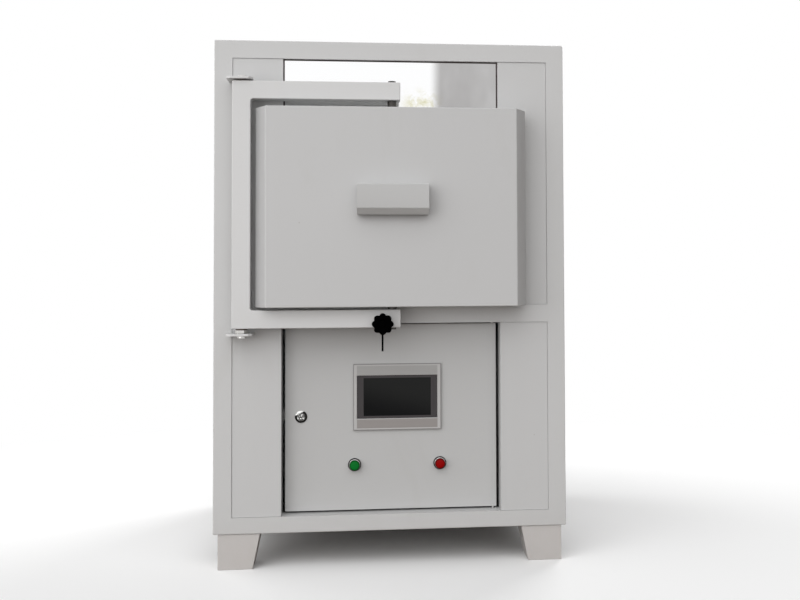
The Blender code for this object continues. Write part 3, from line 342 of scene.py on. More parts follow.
def polishedPlate(name):
    # mirror-finish stainless with fine polishing lines and wipe marks; the straw tint and the soft grey are
    # painted reflections, and the dark edge is painted shade, all drawn in its colour and fixed to the plate
    s, f = plateSettings, Finish(name)
    x, z = f.axes()
    lines, wipe = f.noise(*s["lines"]), f.noise(*s["wipe"])
    colour = f.blend(f.spread(wipe, 0.0, 0.7), *s["steelColours"])
    # painted reflection: the straw tint, broken into blotches by noise
    tint = f.between(x, *s["reflectionTintStart"]) * (1 - f.between(x, *s["reflectionTintEnd"]))
    tint = tint * (1 - f.between(z, *s["reflectionTintTop"]))
    tint = tint * f.between(f.noise(*s["reflectionBlotch"]), 0.38, 0.66)
    colour = f.blend(tint * s["reflectionTintLevel"], colour, s["reflectionTintColour"])
    # painted reflection: the soft grey
    reflectionGrey = f.between(x, *s["reflectionGreyStart"]) * f.spread(f.noise(*s["reflectionGrey"]), 0.7, 1.0)
    colour = f.blend(reflectionGrey * s["reflectionGreyLevel"], colour, s["reflectionGreyColour"])
    # painted shade: a dark line on both sides and along the top, for the gap round the plate
    low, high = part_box("mouth_plate")
    side = abs(x - (low.x + high.x) / 2) - (high.x - low.x) / 2
    colour = f.blend(f.between(side.atLeast(z - high.z), *s["gapShadeDepths"]), colour, s["gapShadeColour"])
    rough = f.spread(lines, 0.06, 0.13) + f.between(wipe, 0.5, 0.7) * 0.07
    warp = f.bump(f.noise(*s["warp"]), s["warpHeight"], 0.5)
    return f.give(colour=colour, rough=rough, metal=1.0, normal=f.bump(lines, s["lineHeight"], 0.25, warp))


steelSettings = {"spots": (60.0, 4.0, 0.6), "rust": (130.0, 4.0, 0.7), "rustColour": (0.30, 0.20, 0.13),
                 "lineHeight": 0.00004}


def turnedSteel(name, colour, roughLow, roughHigh, scale, stretch=(1, 1, 1), rust=0.0):
    # bare metal: tool marks as a stretched noise, faint spots, and rust where asked
    s, f = steelSettings, Finish(name)
    lines = f.noise(scale, 3.0, 0.6, stretch)
    spots = f.noise(*s["spots"])
    shade = f.blend(f.spread(spots, 0.0, 0.6), tone(colour, 0.90), tone(colour, 1.08))
    if rust:
        shade = f.blend(f.between(f.noise(*s["rust"]), 0.58, 0.70) * rust, shade, s["rustColour"])
    rough = f.spread(lines, roughLow, roughHigh)
    return f.give(colour=shade, rough=rough, metal=1.0, normal=f.bump(lines, s["lineHeight"], 0.35))


fibreSettings = {"clumps": (38.0, 5.0, 0.62), "fibres": (520.0, 3.0, 0.7, (1, 0.35, 1), 0.8), "pits": 210.0,
                 "scorch": (11.0, 3.0, 0.5), "scorchColour": (0.56, 0.46, 0.34), "height": 0.0009}


def fibreBoard(name, colour, scorch=0.0):
    # pressed ceramic fibre: clumps, short fibres, small pits drawn darker as painted shade, and a little
    # scorching
    s, f = fibreSettings, Finish(name)
    clumps, fibres = f.noise(*s["clumps"]), f.noise(*s["fibres"])
    pits = 1 - f.between(f.cells(s["pits"]), 0.10, 0.30)
    shade = f.blend(f.spread(clumps, 0.1, 0.8), tone(colour, 0.93), tone(colour, 1.04))
    # painted shade: the pits drawn darker
    shade = f.blend(pits * 0.28, shade, tone(colour, 0.74))
    if scorch:
        shade = f.blend(f.between(f.noise(*s["scorch"]), 0.50, 0.70) * scorch, shade, s["scorchColour"])
    height = clumps * 0.5 + fibres * 0.35 - pits * 0.5
    return f.give(colour=shade, rough=f.spread(fibres, 0.90, 1.0), sheen=0.15,
                  normal=f.bump(height, s["height"], 0.7))


hearthSettings = {"speckle": (210.0, 4.0, 0.7), "colours": ((0.16, 0.155, 0.15), (0.40, 0.385, 0.365)),
                  "grains": 620.0, "oxide": (14.0, 3.0, 0.6), "oxideColour": (0.34, 0.27, 0.22)}


def hearthStone(name):
    # speckled refractory plate with brown patches of oxide
    s, f = hearthSettings, Finish(name)
    speckle = f.noise(*s["speckle"])
    shade = f.blend(f.spread(speckle, 0.0, 1.0), *s["colours"])
    shade = f.blend(0.12, shade, f.cells(s["grains"], "Color"), "OVERLAY")
    shade = f.blend(f.between(f.noise(*s["oxide"]), 0.52, 0.70) * 0.4, shade, s["oxideColour"])
    return f.give(colour=shade, rough=f.spread(speckle, 0.62, 0.85), normal=f.bump(speckle, 0.0004, 0.6))


elementSettings = {"scale": (240.0, 4.0, 0.6, (1, 1, 0.3)), "coldFrom": (0.935, 0.955),
                   "hotColours": ((0.075, 0.072, 0.070), (0.20, 0.19, 0.18)),
                   "coldColour": (0.42, 0.41, 0.40)}


def elementFinish(name):
    # oxidised heating rod: pale at the cold ends, dark grey glaze below
    s, f = elementSettings, Finish(name)
    scale = f.noise(*s["scale"])
    hot = f.blend(f.spread(scale, 0.0, 1.0), *s["hotColours"])
    shade = f.blend(f.between(f.axes("Z")[0], *s["coldFrom"]), hot, s["coldColour"])
    return f.give(colour=shade, rough=f.spread(scale, 0.42, 0.70), metal=0.35,
                  normal=f.bump(scale, 0.0002, 0.6))


def mouldedPlastic(name, colour, roughLow, roughHigh, grain, height, shine=0.5):
    # even plastic with slow clouds of tone and the fine grain of its mould
    f = Finish(name)
    cloudy = f.noise(36.0, 3.0, 0.5)
    shade = f.blend(f.spread(cloudy, 0.0, 0.8), tone(colour, 0.90), tone(colour, 1.12))
    return f.give(colour=shade, rough=f.spread(cloudy, roughLow, roughHigh), specular=shine,
                  normal=f.bump(f.noise(grain, 3.0, 0.6), height, 0.6))


glassSettings = {
    "half": (0.0764, 0.0429),           # half width and height of the picture
    "edge": 0.0006,
    "lowColour": (0.0012, 0.0012, 0.0016),
    # painted reflection: the lighter end of the fall over the picture
    "highColour": (0.0128, 0.0132, 0.0130),
    "rimColour": (0.060, 0.055, 0.057),
    "lean": 0.25,                       # how much the fall of light turns towards the right
    "smear": (28.0, 4.0, 0.6, (1, 1, 0.6), 1.2),
    "wave": (9.0, 1.0, 0.4),
}


def displayGlass(name, centre):
    # black cover glass: a paler rim round the dark picture, faint wipe marks, and a painted reflection, a
    # slow fall of light that is drawn in the picture's colour
    s, f = glassSettings, Finish(name)
    x, z = f.axes()
    halfX, halfZ = s["half"]
    picture = f.band(x, centre[0] - halfX, centre[0] + halfX, s["edge"]) \
        * f.band(z, centre[1] - halfZ, centre[1] + halfZ, s["edge"])
    # painted reflection: the picture drawn lighter towards its top and right
    reflectionFall = f.between(z + x * s["lean"], centre[1] - halfZ * 1.1, centre[1] + halfZ * 0.7)
    shade = f.blend(picture, s["rimColour"], f.blend(reflectionFall, s["lowColour"], s["highColour"]))
    smear = f.between(f.noise(*s["smear"]), 0.55, 0.72)
    return f.give(colour=shade, rough=0.055 + smear * 0.09, specular=0.10,
                  normal=f.bump(f.noise(*s["wave"]), 0.0002, 0.15))


rimSettings = {
    "colours": ((0.455, 0.448, 0.445), (0.485, 0.478, 0.475)),
    "bandHalf": 0.0915,                 # half length of the printed bands
    "bandFrom": 0.0503,
    "bandTo": 0.0705,
    "edge": 0.0003,
    # the upper band is a lighter copy of the print: painted light against the arm's shadow over it
    "upperBandLit": (0.352, 0.348, 0.342),
    "lowerBand": (0.284, 0.265, 0.256),
    "outer": (0.100, 0.075),            # half width and height of the rim
    "roundOffShadeColour": (0.205, 0.200, 0.198),
    "roundOffShadeDepths": (-0.0024, -0.0016),
}


def panelPlastic(name, centre):
    # pale moulded rim with two darker printed bands, above and below the glass; the upper band is drawn
    # lighter as painted light
    s, f = rimSettings, Finish(name)
    across, up = f.offset(centre)
    lower = 1 - f.between(up, -0.004, 0.004)
    across, up = abs(across), abs(up)
    ends = 1 - f.between(across, s["bandHalf"] - s["edge"], s["bandHalf"] + s["edge"])
    band = ends * f.band(up, s["bandFrom"], s["bandTo"], s["edge"])
    sparks = f.noise(1300.0, 3.0, 0.6)
    shade = f.blend(f.spread(f.noise(30.0, 3.0, 0.5), 0.0, 0.6), *s["colours"])
    shade = f.blend(band, shade, f.blend(lower, s["upperBandLit"], s["lowerBand"]))
    # painted shade: a darker line where the rim rounds off
    outer = (across - s["outer"][0]).atLeast(up - s["outer"][1])
    shade = f.blend(f.between(outer, *s["roundOffShadeDepths"]) * 0.75, shade, s["roundOffShadeColour"])
    return f.give(colour=shade, rough=f.spread(sparks, 0.42, 0.55), specular=0.3,
                  normal=f.bump(sparks, 0.00006, 0.6))


chromeSettings = {
    "coneEdge": (0.0124, 0.0129),       # bright inside this radius, dark outside it
    "coneHeights": (-0.006, 0.010),
    "coneReflectionColours": ((0.34, 0.33, 0.31), (0.98, 0.97, 0.96)),
    "shoulderReflectionColour": (0.030, 0.028, 0.027),
    "coneMetal": 0.25,
}


def buttonChrome(name, places):
    # chrome whose bright cone and dark shoulder are painted reflections, drawn in its colour
    s, f = chromeSettings, Finish(name)
    radius = f.reach(places["power"]).atMost(f.reach(places["heating"]))
    bright = 1 - f.between(radius, *s["coneEdge"])
    height = f.axes("Z")[0] - places["power"][1]
    # painted reflection: the cone lighter towards the top
    shade = f.blend(f.between(height, *s["coneHeights"]), *s["coneReflectionColours"])
    # painted reflection: the shoulder dark beyond the cone's edge
    shade = f.blend(bright, s["shoulderReflectionColour"], shade)
    return f.give(colour=shade, rough=f.spread(f.noise(500.0), 0.10, 0.22),
                  metal=f.spread(bright, 1.0, s["coneMetal"]))


lockLooks = {
    "ringFrom": (0.0088, 0.0096),
    "facets": (230.0, 2.0, 0.5, (1, 1, 1.4), 0.4),
    "faceGlintColours": ((0.105, 0.102, 0.098), (0.86, 0.86, 0.84)),
    "ringHighlightFrom": (0.0078, 0.0104),
    "ringHighlightColours": ((0.020, 0.019, 0.018), (0.95, 0.95, 0.93)),
}


def lockFinish(name, centre):
    # the lock's front: a ring painted dark with a painted highlight at its top, round a grey face with
    # painted glints on a few facets, all drawn in its colour
    s, f = lockLooks, Finish(name)
    across, up = f.offset(centre)
    facets = f.noise(*s["facets"])
    # painted glints on the facets
    face = f.blend(f.between(facets, 0.535, 0.575), *s["faceGlintColours"])
    # painted highlight: the ring bright at its top, dark elsewhere
    rim = f.blend(f.between(up - across * 0.5, *s["ringHighlightFrom"]), *s["ringHighlightColours"])
    shade = f.blend(f.between(f.reach(centre), *s["ringFrom"]), face, rim)
    return f.give(colour=shade, rough=f.spread(f.noise(300.0), 0.20, 0.40), metal=1.0,
                  normal=f.bump(facets, 0.0010, 0.6))


capLooks = {"rimFrom": (0.0078, 0.0108), "rimTone": 0.16, "ringPhase": 9000.0, "ringHeight": 0.00003,
            "specks": (300.0, 2.0), "speckTone": 1.6}


def signalCap(name, colour, centre):
    # coloured cap: darker towards its rim, with the fine rings of a lens
    s, f = capLooks, Finish(name)
    radius = f.reach(centre)
    rings = (radius * s["ringPhase"]).sine()
    shade = f.blend(f.between(radius, *s["rimFrom"]) * 0.85, colour, tone(colour, s["rimTone"]))
    shade = f.blend(f.noise(*s["specks"]) * 0.12, shade, tone(colour, s["speckTone"]))
    return f.give(colour=shade, rough=f.spread(f.noise(90.0), 0.24, 0.38), specular=0.06,
                  normal=f.bump(rings, s["ringHeight"], 0.35))


# centres on the front, across and up
panelCentre = (0.0127, 0.3725)
buttonPlaces = {"power": (-0.0841, 0.2200), "heating": (0.1095, 0.2200)}
lockPlace = (-0.2042, 0.3303)
knobPlace = (-0.0220, 0.5420)

finishes = {
    "paint": powderPaint("cabinetPaint", paintSettings["cabinetColour"], 0.30),
    # the arm, the hinge brackets and the weld beads take the lighter copy of the paint: painted light
    "armLitPaint": powderPaint("armLitPaint", paintSettings["armLitColour"]),
    "doorPaint": powderPaint("doorPaint", paintSettings["doorColour"]),
    "controlPaint": powderPaint("controlPaint", paintSettings["controlColour"]),
    "infillPaint": powderPaint("infillPaint", paintSettings["innerColour"]),
    "footPaint": powderPaint("footPaint", paintSettings["footColour"], 0.40),
    "mirror": polishedPlate("polishedMouthPlate"),
    "sheet": turnedSteel("rolledDeckSteel", (0.46, 0.46, 0.45), 0.38, 0.58, 260.0, (0.1, 1, 1), 0.25),
    "steel": turnedSteel("turnedSteel", (0.62, 0.61, 0.59), 0.22, 0.40, 700.0, (1, 1, 4), 0.18),
    "zinc": turnedSteel("zincSheet", (0.66, 0.67, 0.65), 0.34, 0.52, 90.0),
    # painted shade: the bronze of the arm bushes drawn dark brown-grey
    "shadedBronze": turnedSteel("bushBronzePaintedShade", (0.085, 0.066, 0.054), 0.36, 0.52, 800.0, (1, 1, 5)),
    "aluminium": turnedSteel("finAluminium", (0.60, 0.61, 0.62), 0.30, 0.46, 420.0, (1, 1, 0.1)),
    "stud": turnedSteel("blackenedStud", (0.085, 0.080, 0.075), 0.34, 0.50, 600.0),
    "fibre": fibreBoard("fibreBoard", (0.76, 0.74, 0.69)),
    "hotFibre": fibreBoard("chamberFibre", (0.77, 0.74, 0.68), 0.35),
    "sheath": fibreBoard("ceramicSheath", (0.70, 0.66, 0.58), 0.3),
    "hearth": hearthStone("hearthPlate"),
    "element": elementFinish("oxidisedElement"),
    "knob": mouldedPlastic("knobBakelite", (0.0006, 0.0006, 0.0007), 0.40, 0.52, 700.0, 0.00004, 0.002),
    "darkPlastic": mouldedPlastic("darkHousing", (0.030, 0.030, 0.032), 0.50, 0.66, 1100.0, 0.00008, 0.3),
    "greyPlastic": mouldedPlastic("greyDevice", (0.50, 0.51, 0.51), 0.46, 0.60, 1000.0, 0.00006),
    "bezel": panelPlastic("panelBezel", panelCentre),
    "glass": displayGlass("displayGlass", panelCentre),
    "lockFace": lockFinish("lockFace", lockPlace),
    "buttonRing": buttonChrome("buttonRingChrome", buttonPlaces),
    "green": signalCap("powerCap", (0.003, 0.150, 0.021), buttonPlaces["power"]),
    "red": signalCap("heatingCap", (0.255, 0.001, 0.001), buttonPlaces["heating"]),
}
print("finishes made:", len(finishes))


# surfaces from whole arrays

meshSettings = {
    "merge": 0.000002,        # points this near each other become one
    "solidMerge": 0.000004,
    "flatAngle": 0.4,         # degrees: triangles of one plane become a whole face
    "sharp": 38,              # degrees: shading is smooth below this
    "solidSharp": 50,
    "bevelSteps": 3,
}


def skin(name, points, wrapAcross=True, wrapAlong=False, capStart=False, capEnd=False,
         sharp=meshSettings["sharp"]):
    # points is rows x columns x 3; neighbours in both directions are joined by quads, and ends may be capped
    rows, columns = points.shape[:2]
    rowCount = rows if wrapAlong else rows - 1
    columnCount = columns if wrapAcross else columns - 1
    r, c = np.meshgrid(np.arange(rowCount), np.arange(columnCount), indexing="ij")
    nextR, nextC = (r + 1) % rows, (c + 1) % columns
    quads = np.stack([r * columns + c, r * columns + nextC, nextR * columns + nextC, nextR * columns + c], -1)
    faces = quads.reshape(-1, 4).tolist()
    if capStart:
        faces.append(list(range(columns)))
    if capEnd:
        faces.append(list(range((rows - 1) * columns, rows * columns)))
    mesh = bpy.data.meshes.new(name)
    mesh.from_pydata(points.reshape(-1, 3).tolist(), [], faces)
    return tidied(name, mesh, sharp)


def tidied(name, mesh, sharp=meshSettings["sharp"]):
    # merges doubled points, turns the faces outward and shades smoothly up to an angle
    tool = bmesh.new()
    tool.from_mesh(mesh)
    bmesh.ops.remove_doubles(tool, verts=tool.verts, dist=meshSettings["merge"])
    bmesh.ops.recalc_face_normals(tool, faces=tool.faces)
    tool.to_mesh(mesh)
    tool.free()
    mesh.shade_smooth()
    mesh.set_sharp_from_angle(angle=math.radians(sharp))
    made = bpy.data.objects.new(name, mesh)
    bpy.context.scene.collection.objects.link(made)
    return made


def dress(piece, finish, body, replaced=()):
    # its material, the body it moves with and the solids it stands for
    piece.data.materials.clear()
    piece.data.materials.append(finishes[finish])
    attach(piece, body)
    if replaced:
        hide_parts(*replaced)


def turned(name, profile, centre, sides, closed=False):
    # profile of (radius, depth) turned once about an axis that runs front to back through centre
    profile = np.asarray(profile, float)
    angle = np.linspace(0, 2 * np.pi, sides, endpoint=False)
    across = profile[:, :1] * np.cos(angle)
    up = profile[:, :1] * np.sin(angle)
    depth = np.repeat(profile[:, 1:], sides, axis=1)
    return skin(name, np.stack([centre[0] + across, depth, centre[1] + up], -1), wrapAlong=closed)


def rounded(corners, radius, steps=6):
    # a closed (radius, depth) profile with every corner rounded by a quadratic curve
    corners = np.asarray(corners, float)
    before = np.roll(corners, 1, axis=0) - corners
    after = np.roll(corners, -1, axis=0) - corners
    lengthBefore = np.linalg.norm(before, axis=1, keepdims=True)
    lengthAfter = np.linalg.norm(after, axis=1, keepdims=True)
    reach = np.minimum(radius, 0.45 * np.minimum(lengthBefore, lengthAfter))
    start = corners + before / lengthBefore * reach
    end = corners + after / lengthAfter * reach
    t = np.linspace(0, 1, steps)[None, :, None]
    curve = start[:, None] * (1 - t) ** 2 + corners[:, None] * 2 * t * (1 - t) + end[:, None] * t ** 2
    return curve.reshape(-1, 2)


def rectangleLoops(name, loops, centre, corners, closed=False, sharp=meshSettings["sharp"]):
    # rounded rectangles (half width, half height, corner radius, depth) skinned one after another;
    # closed ones run back into the first, as round a window, and others are capped at both ends
    loops = np.asarray(loops, float)
    angle = np.concatenate([np.linspace(0, np.pi / 2, corners) + quarter * np.pi / 2 for quarter in range(4)])
    signX = np.repeat([1, -1, -1, 1], corners)
    signZ = np.repeat([1, 1, -1, -1], corners)
    halfX, halfZ, radius, depth = (loops[:, index:index + 1] for index in range(4))
    x = centre[0] + signX * (halfX - radius) + radius * np.cos(angle)
    z = centre[1] + signZ * (halfZ - radius) + radius * np.sin(angle)
    y = np.repeat(depth, angle.size, axis=1)
    return skin(name, np.stack([x, y, z], -1), True, closed, not closed, not closed, sharp)


def joined(name, pieces):
    # several small meshes made one piece
    verts, faces, offset = [], [], 0
    for piece in pieces:
        count = len(piece.data.vertices)
        flat = np.empty(count * 3)
        piece.data.vertices.foreach_get("co", flat)
        verts.append(flat.reshape(-1, 3))
        faces.extend([[index + offset for index in polygon.vertices] for polygon in piece.data.polygons])
        offset += count
        bpy.data.objects.remove(piece, do_unlink=True)
    mesh = bpy.data.meshes.new(name)
    mesh.from_pydata(np.concatenate(verts).tolist(), [], faces)
    return tidied(name, mesh)


def refined(node, finish, bevel):
    # a merged copy of a solid: flat triangles become whole faces, edges get a small round and even shading
    mesh = nodes[node].data.copy()
    tool = bmesh.new()
    tool.from_mesh(mesh)
    bmesh.ops.remove_doubles(tool, verts=tool.verts, dist=meshSettings["solidMerge"])
    flat = math.radians(meshSettings["flatAngle"])
    bmesh.ops.dissolve_limit(tool, angle_limit=flat, verts=tool.verts, edges=tool.edges)
    tool.to_mesh(mesh)
    tool.free()
    mesh.shade_smooth()
    mesh.set_sharp_from_angle(angle=math.radians(meshSettings["solidSharp"]))
    piece = bpy.data.objects.new(node + "Piece", mesh)
    bpy.context.scene.collection.objects.link(piece)
    if bevel:
        rim = piece.modifiers.new("edgeRound", "BEVEL")
        rim.width = bevel
        rim.segments = meshSettings["bevelSteps"]
        rim.limit_method = "ANGLE"
        rim.angle_limit = math.radians(meshSettings["sharp"])
        rim.harden_normals = True
        rim.use_clamp_overlap = True
    else:
        even = piece.modifiers.new("evenShading", "WEIGHTED_NORMAL")
        even.keep_sharp = True
    dress(piece, finish, bodyOf[node], (node,))


# solids whose shape is right: a finer copy with the right finish and edge radius

refinedPieces = {
    "cabinet_shell": ("paint", 0.0), "front_frame": ("paint", 0.0),
    "infill_upper_left": ("infillPaint", 0.0006), "infill_upper_right": ("infillPaint", 0.0006),
    "infill_lower_left": ("infillPaint", 0.0006), "infill_lower_right": ("infillPaint", 0.0006),
    "foot_front_left": ("footPaint", 0.0010), "foot_front_right": ("footPaint", 0.0010),
    "foot_rear_left": ("footPaint", 0.0010), "foot_rear_right": ("footPaint", 0.0010),
    "hinge_bracket_top": ("armLitPaint", 0.0006), "hinge_bracket_bottom": ("armLitPaint", 0.0006),
    "door_arm": ("armLitPaint", 0.0), "door_shell": ("doorPaint", 0.0), "door_handle": ("controlPaint", 0.0005),
    "control_door": ("controlPaint", 0.0005), "mouth_plate": ("mirror", 0.0004),
    "hinge_pin_top": ("steel", 0.0006), "hinge_pin_bottom": ("steel", 0.0006), "hinge_nut": ("steel", 0.0006),
    "clamp_keeper": ("steel", 0.0008), "heating_element_left": ("element", 0.0),
    "heating_element_right": ("element", 0.0), "circuit_breaker": ("greyPlastic", 0.0010),
    "regulator_heat_sink": ("aluminium", 0.0004), "equipment_plate": ("zinc", 0.0006),
    "hearth_plate": ("hearth", 0.0), "chamber_floor": ("hotFibre", 0.0015),
    "chamber_roof": ("hotFibre", 0.0015), "chamber_wall_left": ("hotFibre", 0.0015),
    "chamber_wall_right": ("hotFibre", 0.0015), "chamber_back": ("hotFibre", 0.0015),
    "door_insulation": ("fibre", 0.0018), "door_plug": ("hotFibre", 0.0030),
}
for node, (finish, bevel) in refinedPieces.items():
    refined(node, finish, bevel)

plainNodes = {
    "deck_plate": "sheet", "thermocouple": "sheath", "cable_gland": "darkPlastic",
    "control_hinge_pin_top": "steel", "control_hinge_pin_bottom": "steel",
    "arm_bush_top": "shadedBronze", "arm_bush_bottom": "shadedBronze", "clamp_stop_pin": "knob",
    "door_pivot_top": "stud", "door_pivot_bottom": "stud", "pivot_spacer_top": "stud",
    "pivot_spacer_bottom": "stud", "clamp_screw": "steel", "panel_housing": "darkPlastic",
    "power_contact_block": "darkPlastic", "heating_contact_block": "darkPlastic", "lock_core": "lockFace",
}
for node, finish in plainNodes.items():
    nodes[node].data.materials.clear()
    nodes[node].data.materials.append(finishes[finish])
print("solids dressed:", len(refinedPieces) + len(plainNodes))


# star knob: a lobed radius carried round the axis, drawn in towards the front and the back

knobSettings = {"lobes": 8, "radius": 0.0240, "valley": 0.160, "back": -0.4200, "thickness": 0.018,
                "soft": 0.12, "sides": 192, "sharp": 50,
                "hubRadius": 0.011, "hubBore": 0.0043, "hubStart": -0.4230, "hubEnd": -0.4146,
                "hubTaper": 0.92, "hubRound": 0.0008, "hubSides": 48}


def makeKnob(s):
    angle = np.linspace(0, 2 * np.pi, s["sides"], endpoint=False)
    # wide round lobes with narrow valleys: the root of a squared cosine and a little more
    lobe = np.sqrt(np.cos(s["lobes"] * angle / 2) ** 2 + s["soft"] ** 2)
    lobe = (lobe - lobe.min()) / (lobe.max() - lobe.min())
    # profile of (share of the radius, how much of the lobes shows, depth share from back to front)
    profile = np.array([
        (0.20, 0.0, 0.00), (0.55, 0.2, 0.00), (0.80, 0.7, 0.00), (0.90, 0.9, 0.02), (0.96, 1.0, 0.07),
        (0.99, 1.0, 0.16), (1.00, 1.0, 0.30), (1.00, 1.0, 0.55), (0.98, 1.0, 0.70), (0.93, 1.0, 0.82),
        (0.85, 0.9, 0.91), (0.74, 0.7, 0.97), (0.62, 0.4, 1.00), (0.50, 0.1, 1.00), (0.44, 0.0, 0.97),
        (0.40, 0.0, 0.90), (0.34, 0.0, 0.88), (0.30, 0.0, 0.92), (0.20, 0.0, 0.945), (0.08, 0.0, 0.95),
        (0.0, 0.0, 0.95),
    ])
    shrink = 1 - s["valley"] * (1 - lobe[None, :]) * profile[:, 1:2]
    radius = s["radius"] * profile[:, :1] * shrink
    depth = np.repeat(s["back"] - s["thickness"] * profile[:, 2:3], s["sides"], axis=1)
    x, z = knobPlace[0] + radius * np.cos(angle), knobPlace[1] + radius * np.sin(angle)
    points = np.stack([x, depth, z], -1)
    hubShape = rounded([(s["hubBore"], s["hubStart"]), (s["hubRadius"], s["hubStart"]),
                        (s["hubRadius"] * s["hubTaper"], s["hubEnd"]), (s["hubBore"], s["hubEnd"])],
                       s["hubRound"])
    dress(skin("knobStar", points, capStart=True, sharp=s["sharp"]), "knob", "knob",
          ("star_knob",))
    dress(turned("knobHub", hubShape, knobPlace, s["hubSides"], True), "knob", "knob")


makeKnob(knobSettings)


# flat washer on the arm's face, where the clamp screw comes out

washerSettings = {"radius": 0.0085, "bore": 0.0044, "thickness": 0.0016, "gap": 0.0002, "round": 0.0004,
                  "sides": 40}


def makeWasher(s):
    # a flat ring with rounded edges, turned about the screw
    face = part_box("door_arm")[0].y
    front, back = face - s["thickness"], face - s["gap"]
    shape = rounded([(s["bore"], front), (s["radius"], front), (s["radius"], back), (s["bore"], back)],
                    s["round"])
    dress(turned("screwWasher", shape, knobPlace, s["sides"], True), "steel", "arm")


makeWasher(washerSettings)


# push-buttons: a chrome ring that narrows as a cone, and a low domed cap

buttonSettings = {"face": -0.3183, "ringRadius": 0.0148, "ringHeight": 0.0096, "bore": 0.0118,
                  "wall": 0.0024, "coneWidth": 0.0021, "coneStart": 0.0046, "lip": 0.0004, "round": 0.0006,
                  "roundSteps": 5, "ringSides": 72, "capRadius": 0.0115, "capBack": -0.3226,
                  "capFront": -0.3330, "dome": 0.0012, "domeRadius": 0.90, "domeBack": 0.0003,
                  "domeRows": 12, "capSides": 64,
                  "capEdge": ((1.0, 0.0010), (0.97, 0.0004))}     # share of the radius, depth behind front


def makeButtons(s):
    # ring: out along its foot, up its wall, over the shoulder and up the cone to a narrow lip
    face, top, bore = s["face"], s["face"] - s["ringHeight"], s["bore"]
    for name, finish, slot in (("power", "green", "green_cap"), ("heating", "red", "red_cap")):
        centre = buttonPlaces[name]
        outline = rounded([
            (bore, face), (s["ringRadius"], face), (s["ringRadius"], face - s["wall"]),
            (s["ringRadius"] - s["coneWidth"], face - s["coneStart"]), (bore + s["lip"], top), (bore, top),
        ], s["round"], s["roundSteps"])
        dress(turned(name + "Ring", outline, centre, s["ringSides"], True), "buttonRing", "control",
              (name + "_button_ring",))
        # the cap's front is a shallow dome: depth falls with the square of the radius
        share = np.linspace(1, 0, s["domeRows"])
        dome = np.stack([s["capRadius"] * s["domeRadius"] * share,
                         s["capFront"] + s["domeBack"] - s["dome"] * (1 - share ** 2)], -1)
        edge = [(s["capRadius"] * part, s["capFront"] + behind) for part, behind in s["capEdge"]]
        profile = np.concatenate([[(0, s["capBack"]), (s["capRadius"], s["capBack"])], edge, dome])
        dress(turned(name + "Cap", profile, centre, s["capSides"]), finish, name, (name + "_button",))


makeButtons(buttonSettings)


# lock: a low ring with a chamfered shoulder, round the core

lockSettings = {"face": -0.3183, "radius": 0.0140, "bore": 0.0088, "height": 0.0029, "wall": 0.0018,
                "waist": 0.97, "crown": 0.84, "round": 0.0006, "sides": 72}


def makeLock(s):
    # two short slopes from the foot to a flat crown, turned about the lock
    face, top = s["face"], s["face"] - s["height"]
    outline = rounded([(s["bore"], face), (s["radius"], face), (s["radius"] * s["waist"], face - s["wall"]),
                       (s["radius"] * s["crown"], top), (s["bore"], top)], s["round"])
    dress(turned("lockRing", outline, lockPlace, s["sides"], True), "lockFace", "control",
          ("lock_ring",))


makeLock(lockSettings)


# touch panel: a moulded bezel round a sunk cover glass

bezelSettings = {"halfWidth": 0.100, "halfHeight": 0.075, "corner": 0.0018, "face": -0.3183, "stand": 0.006,
                 "windowX": 0.0913, "windowZ": 0.0488, "round": 0.0012, "sharp": 30,
                 "glassX": 0.0910, "glassZ": 0.0485, "glassCorner": 0.0008, "glassDepth": 0.0012}


def makeBezel(s):
    # rim: out over its rounded edge, across the front and down into the window, back to the start
    back, front, r = s["face"], s["face"] - s["stand"], s["round"]
    w, h, c = s["halfWidth"], s["halfHeight"], s["corner"]
    inW, inH = s["windowX"], s["windowZ"]
    loops = [
        (w, h, c, back), (w, h, c, front + r), (w - r * 0.3, h - r * 0.3, c, front + r * 0.3),
        (w - r, h - r, c, front), (w - r - 0.0005, h - r - 0.0005, c, front),
        (inW + 0.0014, inH + 0.0014, 0.0016, front), (inW + 0.0010, inH + 0.0010, 0.0014, front),
        (inW + 0.0003, inH + 0.0003, 0.0010, front + 0.0005), (inW, inH, 0.0008, front + 0.0012),
        (inW, inH, 0.0008, back),
    ]
    dress(rectangleLoops("bezelFrame", loops, panelCentre, 8, True, s["sharp"]), "bezel", "control",
          ("panel_bezel",))
    # pane: a box of rounded rectangles with a small chamfer round its front
    w, h, c = s["glassX"], s["glassZ"], s["glassCorner"]
    glassFront = front + s["glassDepth"]
    pane = [
        (w, h, c, back), (w, h, c, glassFront + 0.0003),
        (w - 0.0003, h - 0.0003, c, glassFront), (w - 0.0010, h - 0.0010, c, glassFront),
    ]
    dress(rectangleLoops("coverGlass", pane, panelCentre, 5), "glass", "control", ("panel_glass",))


makeBezel(bezelSettings)
print("knob, buttons, lock and panel made")


# rear cover: a flat sheet with pressed louvres and pan-head screws

coverSettings = {"low": 0.293, "high": 1.123, "half": 0.325, "sheet": 0.0015, "start": 0.4473,
                 "corner": 0.004, "hoodGrid": (17, 7), "hoodPower": 8, "count": 8, "pitch": 0.034,
                 "width": 0.200, "rise": 0.0078, "drop": 0.014, "first": 0.080, "wall": 0.0012,
                 "columns": (-0.150, 0.150), "rows": 4, "headRadius": 0.0068, "headHeight": 0.0036,
                 "headSides": 24, "inset": 0.012, "sink": 0.0004}


